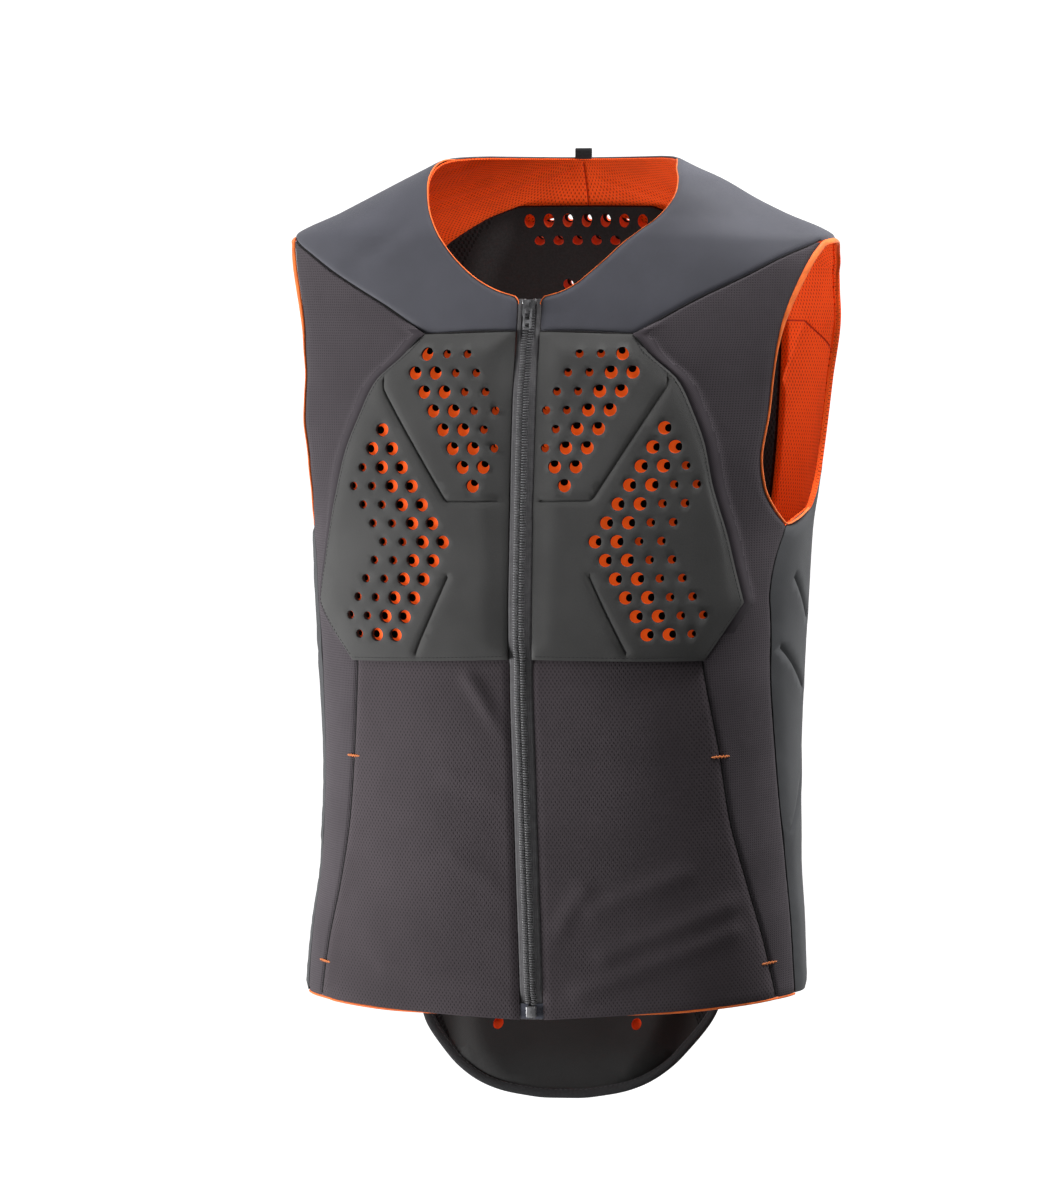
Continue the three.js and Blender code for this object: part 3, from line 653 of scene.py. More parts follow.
def mathNode(tree, operation, a, b=None, c=None):
    node = tree.nodes.new("ShaderNodeMath")
    node.operation = operation
    for socket, value in zip(node.inputs, (a, b, c)):
        if isinstance(value, bpy.types.NodeSocket):
            tree.links.new(value, socket)
        elif value is not None:
            socket.default_value = value
    return node.outputs[0]


def flatAxes(tree):
    # the cloth's own two directions, in millimetres
    uv = tree.nodes.new("ShaderNodeUVMap")
    uv.uv_map = "flat"
    split = tree.nodes.new("ShaderNodeSeparateXYZ")
    tree.links.new(uv.outputs[0], split.inputs[0])
    return tuple(mathNode(tree, "MULTIPLY", split.outputs[k], 1 / flatScale) for k in (0, 1))


def wave(tree, value, pitch):
    return mathNode(tree, "COSINE", mathNode(tree, "MULTIPLY", value, 2 * math.pi / pitch))


def noise(tree, size, detail=3.0, rough=0.55):
    # even noise in space, with features of about this size in millimetres
    place = tree.nodes.new("ShaderNodeTexCoord")
    node = tree.nodes.new("ShaderNodeTexNoise")
    node.inputs["Scale"].default_value = 1000 / size
    node.inputs["Detail"].default_value = detail
    node.inputs["Roughness"].default_value = rough
    tree.links.new(place.outputs["Object"], node.inputs["Vector"])
    return node.outputs["Fac"]


def spread(tree, value, low, high, toLow=0.0, toHigh=1.0):
    node = tree.nodes.new("ShaderNodeMapRange")
    node.interpolation_type = "SMOOTHSTEP"
    tree.links.new(value, node.inputs["Value"])
    for name, number in zip(("From Min", "From Max", "To Min", "To Max"), (low, high, toLow, toHigh)):
        node.inputs[name].default_value = number
    return node.outputs[0]


def blendColor(tree, factor, first, second):
    node = tree.nodes.new("ShaderNodeMix")
    node.data_type = "RGBA"
    tree.links.new(factor, node.inputs[0])
    for socket, value in ((node.inputs[6], first), (node.inputs[7], second)):
        if isinstance(value, bpy.types.NodeSocket):
            tree.links.new(value, socket)
        else:
            socket.default_value = (*value, 1)
    return node.outputs[2]


def setBump(tree, shader, height, depth):
    node = tree.nodes.new("ShaderNodeBump")
    node.inputs["Distance"].default_value = depth * metre
    node.inputs["Strength"].default_value = 1
    tree.links.new(height, node.inputs["Height"])
    tree.links.new(node.outputs[0], shader.inputs["Normal"])


def setColor(tree, shader, color):
    tree.links.new(color, shader.inputs["Base Color"])


def setRough(tree, shader, value, low, high):
    tree.links.new(spread(tree, value, 0.3, 0.7, low, high), shader.inputs["Roughness"])


def setPaintedGlow(tree, shader, values):
    # painted light: the colour also glows as emission, which keeps these orange parts bright though they are
    # no lamp
    tree.links.new(shader.inputs["Base Color"].links[0].from_socket, shader.inputs["Emission Color"])
    shader.inputs["Emission Strength"].default_value = values.get("glow", 0)


def mixed(tree, first, firstShare, second, secondShare):
    parts = ((first, firstShare), (second, secondShare))
    return mathNode(tree, "ADD", *(mathNode(tree, "MULTIPLY", value, share) for value, share in parts))


def shade(color, factor):
    return tuple(c * factor for c in color)


def toned(tree, tone, low, high, color, dark, light):
    # the colour, darker and lighter with the tone
    return blendColor(tree, spread(tree, tone, low, high), shade(color, dark), shade(color, light))


# Looks, in linear colour
def softshellLook(values):
    look, tree, shader = newLook("softshell", 0.74, 0.35, 0.03)
    u, v = flatAxes(tree)
    twill = wave(tree, mathNode(tree, "ADD", u, v), values["twill"])
    broad = noise(tree, values["cloud"])
    grain = noise(tree, values["grain"], 2)
    tone = mixed(tree, broad, 0.7, grain, 0.3)
    setColor(tree, shader, toned(tree, tone, 0.3, 0.7, values["color"], 0.86, 1.12))
    setRough(tree, shader, grain, 0.66, 0.8)
    setBump(tree, shader, mixed(tree, twill, 0.5, broad, 2.2), values["relief"])
    return look


def foamLook(name, values, sheen=0.0):
    # pressed foam with a fine cloth face
    look, tree, shader = newLook(name, 0.85, 0.3, sheen)
    u, v = flatAxes(tree)
    rib = mathNode(tree, "MULTIPLY", wave(tree, u, values["rib"]), wave(tree, v, values["rib"]))
    grain = noise(tree, values["grain"], 4)
    broad = noise(tree, values["cloud"], 2)
    tone = mixed(tree, grain, 0.45, broad, 0.55)
    setColor(tree, shader, toned(tree, tone, 0.3, 0.7, values["color"], 0.85, 1.15))
    setRough(tree, shader, grain, 0.78, 0.92)
    setPaintedGlow(tree, shader, values)
    height = mathNode(tree, "ADD", mathNode(tree, "MULTIPLY", rib, 0.35), grain)
    setBump(tree, shader, height, values["relief"])
    return look


def gridMeshLook(name, values, offsetRows, sheen=0.03):
    # knitted mesh with small open dots, in square or offset rows
    look, tree, shader = newLook(name, 0.9, 0.25, sheen)
    u, v = flatAxes(tree)
    across, along = values["pitch"]
    if offsetRows:
        dots = mathNode(tree, "MULTIPLY", wave(tree, u, across), wave(tree, v, 2 * along))
    else:
        both = mathNode(tree, "ADD", wave(tree, u, across), wave(tree, v, along))
        dots = mathNode(tree, "MULTIPLY", both, 0.5)
    openDots = spread(tree, dots, values["edge"] - 0.3, values["edge"] + 0.25)
    broad = noise(tree, values["cloud"], 3)
    yarn = noise(tree, 0.9, 2)
    tone = mixed(tree, broad, 0.6, yarn, 0.4)
    knit = toned(tree, tone, 0.3, 0.7, values["color"], 0.86, 1.14)
    setColor(tree, shader, blendColor(tree, openDots, knit, shade(values["color"], values["dark"])))
    setRough(tree, shader, yarn, 0.82, 0.95)
    setPaintedGlow(tree, shader, values)
    height = mathNode(tree, "SUBTRACT", mathNode(tree, "MULTIPLY", yarn, 0.4), openDots)
    setBump(tree, shader, height, values["relief"])
    return look


def tapeLook(name, values, rough=0.85, sheen=0.05):
    # narrow woven tape with ribs across it
    look, tree, shader = newLook(name, rough, 0.3, sheen)
    u, v = flatAxes(tree)
    weave = mixed(tree, wave(tree, u, values["rib"][0]), 0.6, wave(tree, v, values["rib"][1]), 0.4)
    grain = noise(tree, values["grain"], 3)
    tone = mathNode(tree, "ADD", mathNode(tree, "MULTIPLY", weave, 0.14), grain)
    setColor(tree, shader, toned(tree, tone, 0.25, 0.75, values["color"], 0.8, 1.18))
    setRough(tree, shader, grain, rough - 0.06, min(rough + 0.08, 1))
    setBump(tree, shader, weave, values["relief"])
    return look


def hardLook(name, values, metallic):
    look, tree, shader = newLook(name, values["rough"], 0.5, 0, metallic)
    grain = noise(tree, values["grain"], 4)
    wear = noise(tree, 6, 3)
    setColor(tree, shader, toned(tree, wear, 0.35, 0.7, values["color"], 0.85, 1.3))
    setRough(tree, shader, wear, values["rough"] - 0.08, values["rough"] + 0.12)
    setBump(tree, shader, grain, values["relief"])
    return look


# what several looks share
blackFoam = {"rib": 1.4, "grain": 1.6, "cloud": 40, "relief": 0.1}
orangeFoam = {"rib": 1.2, "grain": 0.9, "cloud": 8, "relief": 0.06}
orangeMesh = {"color": (0.95, 0.098, 0.008), "pitch": (3.2, 2.8), "edge": 0.5, "dark": 0.5, "cloud": 40,
              "relief": 0.3}
sewing = {"rib": (0.5, 0.5), "grain": 0.8, "relief": 0.08}
metal = {"grain": 0.7, "relief": 0.015}
lookValues = {
    "softshell": {"color": (0.074, 0.0745, 0.091), "twill": 0.9, "cloud": 70, "grain": 2.2, "relief": 0.05},
    "chestFoam": {"color": (0.063, 0.0625, 0.0615), "rib": 0.9, "grain": 1.1, "cloud": 45, "relief": 0.09},
    "backFoam": {"color": (0.061, 0.063, 0.067), "rib": 1.1, "grain": 1.3, "cloud": 60, "relief": 0.08},
    # painted shade and light: one black foam in two copies, darker inside the vest and lighter on the tail
    # below the hem
    "protectorFoam": {"color": (0.0062, 0.0062, 0.0064), **blackFoam},
    "tailFoam": {"color": (0.020, 0.0195, 0.0195), **blackFoam},
    # painted light: the vent oranges glow; smallVentOrange and backOrange are darker copies of the same
    # orange, painted shade, with less painted glow
    "ventOrange": {"color": (0.92, 0.10, 0.010), "glow": 0.42, **orangeFoam},
    "smallVentOrange": {"color": (0.82, 0.085, 0.010), "glow": 0.2, **orangeFoam},
    "backOrange": {"color": (0.72, 0.078, 0.010), "glow": 0.05, **orangeFoam},
    # painted shade: near black for the dark depth of each chest vent
    "ventDark": {"color": (0.008, 0.008, 0.008), "rib": 1.0, "grain": 0.8, "cloud": 8, "relief": 0.06},
    # partly a darker welt and partly painted shade on the slope of the roll beside the pad
    "welt": {"color": (0.036, 0.029, 0.035), "rib": 1.3, "grain": 1.2, "cloud": 30, "relief": 0.12},
    "sideMesh": {"color": (0.068, 0.058, 0.066), "pitch": (1.9, 1.9), "edge": 0.45, "dark": 0.55, "cloud": 60,
                 "relief": 0.16},
    "frontKnit": {"color": (0.067, 0.055, 0.062), "pitch": (3.1, 2.3), "edge": 0.5, "dark": 0.55, "cloud": 55,
                  "relief": 0.24},
    "wingMesh": {"color": (0.011, 0.011, 0.0115), "pitch": (4.2, 3.4), "edge": 0.2, "dark": 0.25, "cloud": 30,
                 "relief": 0.5},
    # painted light: both orange linings glow, armLining a little more
    "orangeLining": {"glow": 0.11, **orangeMesh},
    "armLining": {"glow": 0.12, **orangeMesh},
    "orangePiping": {"color": (0.93, 0.18, 0.03), "rib": (1.2, 0.8), "grain": 9.0, "relief": 0.02},
    "binding": {"color": (0.026, 0.027, 0.029), "rib": (1.1, 1.1), "grain": 2.0, "relief": 0.14},
    "zipTape": {"color": (0.115, 0.112, 0.117), "rib": (1.5, 1.6), "grain": 5.0, "relief": 0.05},
    "liningSeam": {"color": (0.55, 0.04, 0.003), "rib": (1.6, 0.8), "grain": 1.2, "relief": 0.1},
    # near black: partly the stitching, partly painted shade in the seam's gap
    "seam": {"color": (0.009, 0.008, 0.009), "rib": (1.6, 0.8), "grain": 1.2, "relief": 0.12},
    "thread": {"color": (0.040, 0.039, 0.041), **sewing},
    "tackThread": {"color": (0.80, 0.24, 0.07), **sewing},
    "zipPatch": {"color": (0.085, 0.09, 0.115), "rough": 0.3, "grain": 1.5, "relief": 0.02},
    "zipCoil": {"color": (0.135, 0.134, 0.138), "rough": 0.42, "grain": 0.8, "relief": 0.02},
    "zipMetal": {"color": (0.13, 0.13, 0.135), "rough": 0.32, **metal},
    "zipPull": {"color": (0.26, 0.26, 0.27), "rough": 0.3, **metal},
    # the stops are much paler than the slider: partly their own paler metal, partly a painted highlight
    "zipStop": {"color": (0.42, 0.42, 0.43), "rough": 0.3, **metal},
}
lookMakers = (
    # maker, settings that follow the name and values, names
    (foamLook, (), ("chestFoam", "protectorFoam", "tailFoam", "ventOrange", "smallVentOrange", "backOrange",
                    "ventDark")),
    (foamLook, (0.02,), ("backFoam",)),
    (foamLook, (0.05,), ("welt",)),
    (gridMeshLook, (False,), ("sideMesh",)),
    (gridMeshLook, (True,), ("frontKnit", "orangeLining", "armLining")),
    (gridMeshLook, (True, 0.0), ("wingMesh",)),
    (tapeLook, (), ("binding", "zipTape", "liningSeam", "seam")),
    (tapeLook, (0.6, 0.06), ("orangePiping",)),
    (tapeLook, (0.75,), ("thread",)),
    (tapeLook, (0.6, 0.1), ("tackThread",)),
    (hardLook, (0.0,), ("zipPatch", "zipCoil")),
    (hardLook, (0.5,), ("zipMetal", "zipPull")),
    (hardLook, (0.9,), ("zipStop",)),
)
looks = {"softshell": softshellLook(lookValues["softshell"])}
for maker, settings, lookNames in lookMakers:
    for lookName in lookNames:
        looks[lookName] = maker(lookName, lookValues[lookName], *settings)
print("looks made")

# neighbouring pieces lap by this much on each side of a seam, so that no light shows through
lap = 0.25
cloth = {"thickness": 2.0, "seamDip": 1.6, "seamWidth": 2.0, "sway": 0.5, "least": 0.4}
upward = np.array([0, 0, 1.0])


def sway(around, z, seed):
    # slow unevenness of worn cloth
    a = np.sin(around / 31 + z / 57 + seed) + np.sin(around / 53 - z / 41 + 2.1 * seed)
    b = np.sin(around / 17 + z / 83 + 1.3 * seed) * 0.5
    return cloth["sway"] * (a + b) / 2


def seamFall(distance):
    # how far the cloth falls away beside a sewn edge
    return cloth["seamDip"] * hump(distance, cloth["seamWidth"])


def ridge(around, z, line, width):
    # 1 on a line on the cloth, fading to 0 beside it and at its ends
    places = np.stack([np.ravel(around), np.ravel(z)], 1)
    return hump(lineDistance(places, line), width).reshape(np.shape(around))


# Yoke over each shoulder, from the zip to the centre back
yoke = {"rowsPerStrip": 6, "columns": 28, "backStrips": 6, "flat": (0.36, 0.19), "area": 0.036,
        "seeds": {"left": 0.4, "right": 2.2}, "zipRows": 40, "backRows": 60, "away": 99, "calm": 25,
        "least": 0.35,
        "crease": ((148, -80), (108, -53)), "creaseWidth": 7, "creaseDepth": 1.6}


def yokeEdges():
    strips = len(yokeNeck) - 1
    t = np.linspace(0, strips, strips * yoke["rowsPerStrip"] + 1)
    index = np.arange(strips + 1)
    neck, neckZ = smoothAt(index, yokeNeck, t), smoothAt(index, yokeNeckZ, t)
    edge = smoothPieces(index, yokeEdge, t, (yokeCorner, yokeArmFront))
    edgeZ = smoothPieces(index, yokeEdgeZ, t, (yokeCorner, yokeArmFront))
    share = np.linspace(0, 1, yoke["backStrips"] * yoke["rowsPerStrip"] + 1)[1:]
    backNeck, backNeckZ = between(yokeNeck[-1], yokeNeckZ[-1], halfRound(neckBackZ), neckBackZ, share)
    backEdge, backEdgeZ = between(yokeEdge[-1], yokeEdgeZ[-1], halfRound(yokeBackZ), yokeBackZ, share)
    return (np.concatenate([neck, backNeck]), np.concatenate([neckZ, backNeckZ]),
            np.concatenate([edge, backEdge]), np.concatenate([edgeZ, backEdgeZ]))


neckAround, neckZ, edgeAround, edgeZ = yokeEdges()


def yokeGrid(firstRow=0):
    share = np.linspace(0, 1, yoke["columns"])
    share = 0.5 - 0.5 * np.cos(math.pi * share) * (0.75 + 0.25 * np.cos(math.pi * share) ** 2)
    share = (share - share[0]) / (share[-1] - share[0])
    return between(neckAround[firstRow:, None], neckZ[firstRow:, None],
                   edgeAround[firstRow:, None], edgeZ[firstRow:, None], share[None])


def addYokes():
    around, z = yokeGrid()
    points = formPoint(around, z)
    steps = np.linalg.norm(np.diff(points, axis=1), axis=-1).cumsum(1)
    across = np.concatenate([np.zeros((len(points), 1)), steps], 1)
    toEdge = across[:, -1:] - across
    row = np.arange(len(around))[:, None]
    fromZip = np.abs(points[..., 0] - zipHalf) + np.where(row > yoke["zipRows"], yoke["away"], 0)
    toBack = np.where(row > yoke["backRows"], np.abs(points[..., 0]), yoke["away"])
    fall = seamFall(toEdge) + 0.7 * seamFall(fromZip) + 0.6 * seamFall(across) + 0.5 * seamFall(toBack)
    calm = smoothStep(np.minimum(toEdge, across), 0, yoke["calm"])
    flat = np.tile(flatLengths(around, z), (2, 1))
    for side, seed in yoke["seeds"].items():
        outer = cloth["thickness"] + sway(around, z, seed) * calm - fall
        if side == "right":
            outer = outer - yoke["creaseDepth"] * ridge(around, z, yoke["crease"], yoke["creaseWidth"])
        solid, faces = shell(around, z, np.maximum(outer, yoke["least"]), 0.0)
        solid[:, 0] = np.maximum(solid[:, 0], 0)
        piece = addMesh("yoke_" + side + "_cloth", onSide(side, solid), faces, flat, ["softshell"])
        place(piece, "softshell", ["yoke_" + side])


addYokes()
print("yokes made")

# Orange lining of the yoke, slack between the neck edge and the middle, and the seam at its centre back
yokeLining = {"firstStrip": 5, "outer": -0.7, "inner": -2.0, "flat": (0.28, 0.16), "area": 0.027,
              "foldPitch": 4.4, "foldLean": 6.5, "foldBeat": 21,
              "folds": {"left": (1.6, 0.5), "right": (3.0, 2.1)},
              "slackFrom": (0.02, 0.18), "slackTo": (0.5, 0.85), "fromBack": (3, 16),
              "seamZ": (1.0, -35.0), "seamRise": 0.4, "seam": (0.8, 0.7)}


def addYokeLinings():
    around, z = yokeGrid(yokeLining["firstStrip"] * yoke["rowsPerStrip"])
    flat = np.tile(flatLengths(around, z), (2, 1))
    share = np.linspace(0, 1, around.shape[1])[None]
    slack = smoothStep(share, *yokeLining["slackFrom"]) * (1 - smoothStep(share, *yokeLining["slackTo"]))
    slack = slack * smoothStep(halfRound(z) - around, *yokeLining["fromBack"])
    for side, (depth, phase) in yokeLining["folds"].items():
        swing = np.sin(around / yokeLining["foldPitch"] + z / yokeLining["foldLean"] + phase)
        beat = np.sin(around / yokeLining["foldBeat"] + phase)
        folds = depth * (0.5 + 0.5 * swing) * (0.6 + 0.4 * beat) * slack
        points, faces = shell(around, z, yokeLining["outer"], yokeLining["inner"] - folds)
        points[:, 0] = np.maximum(points[:, 0], 0)
        piece = addMesh("yoke_lining_" + side + "_cloth", onSide(side, points), faces, flat, ["orangeLining"])
        place(piece, "orange_lining", ["yoke_lining_" + side])
    height = np.linspace(*yokeLining["seamZ"], 16)
    points, normals, side = pathFrames(halfRound(height), height)
    path = points + normals * (yokeLining["inner"] - yokeLining["seamRise"])
    seam = tube(path, normals, side, *yokeLining["seam"], 6)
    place(addMesh("neck_lining_seam", *seam, ["liningSeam"]), "orange_lining")


addYokeLinings()
print("yoke linings made")

# Side panels, with a roll of cloth beside the pad
sidePanel = {"rowStep": 4.0, "columns": 26, "crowding": 1.35, "flat": (0.11, 0.60), "area": 0.028, "calm": 18,
             "seeds": {"left": 1.1, "right": 3.4}, "rollHeight": 4.2, "rollWidth": 15,
             "rollFrom": (-372, -345), "rollTo": (-136, -120),
             "beadHeight": 0.5, "beadAt": 6.0, "beadWidth": 3.0, "weltWidth": 10.5}


def sidePanelRows():
    rows = []
    corners = (hem, padBottomAtSide, padCorner, armholeFoot, padTopAtSide, seamZ[-1])
    for low, high in zip(corners[:-1], corners[1:]):
        rows += list(np.linspace(low, high, int((high - low) / sidePanel["rowStep"]) + 2)[:-1])
    return np.array(rows + [corners[-1]])


def addSidePanels():
    level = sidePanelRows()[:, None]
    share = np.linspace(0, 1, sidePanel["columns"]) ** sidePanel["crowding"]
    around, z = between(innerSeam(level) - lap, level, outerSeam(level) + lap, level, share[None])
    z = np.broadcast_to(z, around.shape)
    fromInner = around - around[:, :1]
    toOuter = around[:, -1:] - around
    besidePad = smoothStep(z, *sidePanel["rollFrom"]) * (1 - smoothStep(z, *sidePanel["rollTo"]))
    roll = sidePanel["rollHeight"] * (1 - smoothStep(fromInner, 0, sidePanel["rollWidth"]))
    roll += sidePanel["beadHeight"] * hump(fromInner - sidePanel["beadAt"], sidePanel["beadWidth"])
    fall = seamFall(fromInner) * (1 - 0.4 * besidePad) + seamFall(toOuter) + 0.7 * seamFall(z - hem)
    calm = smoothStep(np.minimum(fromInner, toOuter), 0, sidePanel["calm"])
    flat = np.tile(gridPlaces(around, z), (2, 1))
    # the band of the roll beside the pad takes the darker look: partly a welt, partly painted shade
    onWelt = (fromInner[:-1, :-1] + fromInner[1:, 1:]) / 2 < sidePanel["weltWidth"]
    onWelt &= besidePad[1:, 1:] > 0.4
    for side, seed in sidePanel["seeds"].items():
        base = roll * besidePad + sway(around, z, seed) * calm
        outer = np.maximum(base + cloth["thickness"] - fall, cloth["least"])
        inner = np.minimum(np.maximum(base - 0.4, 0), outer - 0.35)
        solid, faces = shell(around, z, outer, inner)
        slots = np.zeros(len(faces), np.int32)
        slots[:onWelt.size] = onWelt.ravel()
        piece = addMesh("side_panel_" + side + "_cloth", onSide(side, solid), faces, flat,
                        ["sideMesh", "welt"], slots)
        place(piece, "side_mesh", ["side_panel_" + side])


addSidePanels()
print("side panels made")

# Lower front panels, from the zip to the pocket seam
frontPanel = {"rows": 74, "columns": 46, "flat": (0.20, 0.29), "area": 0.046, "padReach": 134, "calm": 22,
              "sway": 1.3, "foldWidth": 6, "foldHeight": 2.3, "rippleWidth": 8, "rippleHeight": 1.6}
frontSides = {
    # seed of the unevenness, share of the ripples' height, folds, ripples
    "left": (0.9, 1, (), (((40, -642), (160, -600)), ((60, -612), (170, -572)), ((52, -575), (120, -548)),
                          ((14, -600), (44, -560)))),
    "right": (2.7, 0.5, (((6, -446), (41, -391)),),
              (((16, -560), (60, -530)), ((12, -640), (120, -628)), ((20, -480), (60, -468)))),
}


def addFrontPanels():
    across = np.linspace(0, 1, frontPanel["columns"])[None]
    height = np.linspace(0, 1, frontPanel["rows"])[:, None]
    seamHeight = hem + (padBottomAtSide - hem) * height
    zipHeight = hem + (padBottomAtZip - hem) * height
    around, z = between(zipHalf, zipHeight, innerSeam(seamHeight) + lap, seamHeight, across)
    fromZip, toSeam = around - zipHalf, innerSeam(z) - around
    padEdge = padBottomAtZip + fromZip / frontPanel["padReach"] * (padBottomAtSide - padBottomAtZip)
    toPad = np.maximum(padEdge - z, 0)
    fall = seamFall(fromZip) * 0.8 + seamFall(toSeam) + seamFall(toPad) + 0.7 * seamFall(z - hem)
    edge = np.minimum(np.minimum(fromZip, toSeam), z - hem)
    calm = smoothStep(np.minimum(edge, toPad), 0, frontPanel["calm"])
    flat = np.tile(gridPlaces(around, z), (2, 1))
    for side, (seed, share, folds, ripples) in frontSides.items():
        base = frontPanel["sway"] * sway(around, z, seed) * calm
        for line in folds:
            base = base + frontPanel["foldHeight"] * ridge(around, z, line, frontPanel["foldWidth"]) * calm
        for line in ripples:
            rise = share * frontPanel["rippleHeight"]
            base = base + rise * ridge(around, z, line, frontPanel["rippleWidth"]) * calm
        outer = np.maximum(base + cloth["thickness"] - fall, cloth["least"])
        solid, faces = shell(around, z, outer, np.clip(base - 0.2, 0, None) * (outer > 1))
        piece = addMesh("front_panel_" + side + "_cloth", onSide(side, solid), faces, flat, ["frontKnit"])
        place(piece, "front_knit", ["front_panel_" + side])


addFrontPanels()
print("front panels made")

# Chest pads: pressed foam with leaning vents and grooves
chestPad = {"spacing": 5.0, "innerSpacing": 12.0, "edgeAtZip": 6.6, "edgeAtSide": 7.4, "sideReach": 120,
            "edgeAtTop": 3.6, "top": (-178, -138), "topSide": (70, 100), "middle": 9.0, "crown": 18.0,
            "fill": 0.9, "rims": (1.2, 2.8), "edgeFall": 1.0, "edgeWidth": 1.3,
            "grooveDepth": 1.5, "grooveWidth": 1.0, "swell": 0.4, "swellAt": 7.0, "swellWidth": 5}
ventRows = (
    # row, first column, count, small ones nearest the zip; columns in half pitches from the zip
    (0, 5, 3, 2), (1, 4, 4, 2), (2, 3, 4, 2), (3, 2, 4, 2), (4, 3, 3, 1), (5, 2, 3, 1),
    (6, 3, 2, 0), (7, 4, 1, 0),
)
sideVentRows = (
    # row, first column, count; the first two are big
    (4, 13, 1), (5, 12, 2), (6, 11, 3), (7, 10, 4), (8, 9, 4), (9, 8, 4), (10, 7, 4), (11, 8, 4), (12, 9, 4),
    (13, 10, 4), (14, 11, 4), (15, 12, 3),
)
vent = {"pitch": 16.3, "top": -147, "flare": 0.45, "lip": 3.0, "shelf": 3.5, "depth": 8.0,
        "lean": {"upper": (-0.8, 3.0), "side": (3.0, 0.0)}}
ventSizes = {"big": {"radius": 5.0, "sides": 24, "hole": 0.6, "lean": 1, "slot": 1},
             "small": {"radius": 3.2, "sides": 18, "hole": 0.72, "lean": 0.92, "slot": 5}}
chestGrooves = (((111, -166), (54, -257), (14, -257)), ((54, -315), (82, -372)))
# face, big vents, holes, edges of the holes, inner face, small vents; the holes and their edges are painted
# near black as the shade deep in each vent, and the oranges glow as painted light
padLooks = ("chestFoam", "ventOrange", "ventDark", "ventDark", "ventOrange", "smallVentOrange")


def chestVents():
    rise = vent["pitch"] * math.sqrt(3) / 2
    rows = [(row, first, ["small"] * small + ["big"] * (count - small), "upper")
            for row, first, count, small in ventRows]
    rows += [(row, first, ["big", "big", "small", "small"][:count], "side")
             for row, first, count in sideVentRows]
    found = []
    for row, first, sizes, cluster in rows:
        for k, size in enumerate(sizes):
            found.append(((first + 2 * k) * vent["pitch"] / 2, vent["top"] - row * rise, size, cluster))
    return found


def padOutline():
    seam = np.concatenate([np.linspace(padBottomAtSide, padCorner, 10)[:-1],
                           np.linspace(padCorner, padTopAtSide, 44)])
    outer = np.stack([innerSeam(seam) + lap, seam], 1)
    top = resample([outer[-1], (zipHalf, padTop + lap)], 4.0)[1:]
    inner = resample([top[-1], (zipHalf, padBottomAtZip - lap)], 5.0)[1:]
    bottom = resample([inner[-1], outer[0]], 5.0)[1:-1]
    return np.concatenate([outer, top, inner, bottom])


def leftOf(along):
    # unit directions across a flat line, to the left of it
    along = unit(along)
    return np.stack([-along[:, 1], along[:, 0]], 1)


def grooveLines(grooves, width):
    # rows of points along and beside each groove, to give it a clean section
    lines = []
    for groove in grooves:
        line = resample(groove, 3.0)
        side = leftOf(np.gradient(line, axis=0))
        lines += [line + side * share * width for share in (-1.7, -0.8, 0, 0.8, 1.7)]
    return lines


def insetLine(outline, gap):
    # the outline moved inwards by a small gap
    inwards = leftOf(np.roll(outline, -1, 0) - np.roll(outline, 1, 0))
    if not insideOutline(outline[:1] + inwards[:1] * gap, outline)[0]:
        inwards = -inwards
    return outline + inwards * gap


def pressGrooves(height, places, grooves, pad):
    # each groove goes down, with a slight swell beside it
    for groove in grooves:
        gap = lineDistance(places, groove)
        height = height - pad["grooveDepth"] * hump(gap, pad["grooveWidth"])
        height = height + pad["swell"] * hump(gap - pad["swellAt"], pad["swellWidth"])
    return height


def padHeight(places, outline):
    u, z = places[:, 0], places[:, 1]
    distance = lineDistance(places, outline, True)
    share = np.clip((u - zipHalf) / chestPad["sideReach"], 0, 1)
    edge = chestPad["edgeAtZip"] + (chestPad["edgeAtSide"] - chestPad["edgeAtZip"]) * share
    fall = (edge - chestPad["edgeAtTop"]) * smoothStep(z, *chestPad["top"])
    edge = edge - fall * (1 - smoothStep(u, *chestPad["topSide"]))
    height = edge + (chestPad["middle"] - edge) * smoothStep(distance, 0, chestPad["crown"])
    height = height - chestPad["edgeFall"] * hump(distance, chestPad["edgeWidth"])
    return pressGrooves(height, places, chestGrooves, chestPad)


def ventRings(size):
    # radius, depth below the face, share of the lean, look of the band that follows
    radius, slot = size["radius"], size["slot"]
    hole, lip, shelf = radius * size["hole"], vent["lip"], vent["shelf"]
    return ((radius + 0.12, 0.25, 0, 0), (radius, 0.7, 0, 0), (radius - 0.1, lip, 0, slot),
            (radius * 0.8 + hole * 0.2, shelf, 0.2, slot), (hole, shelf + 0.3, 1, 3),
            (hole * 0.95, shelf + 1.2, 1, 2), (hole * 0.9, vent["depth"], 1.05, 2))


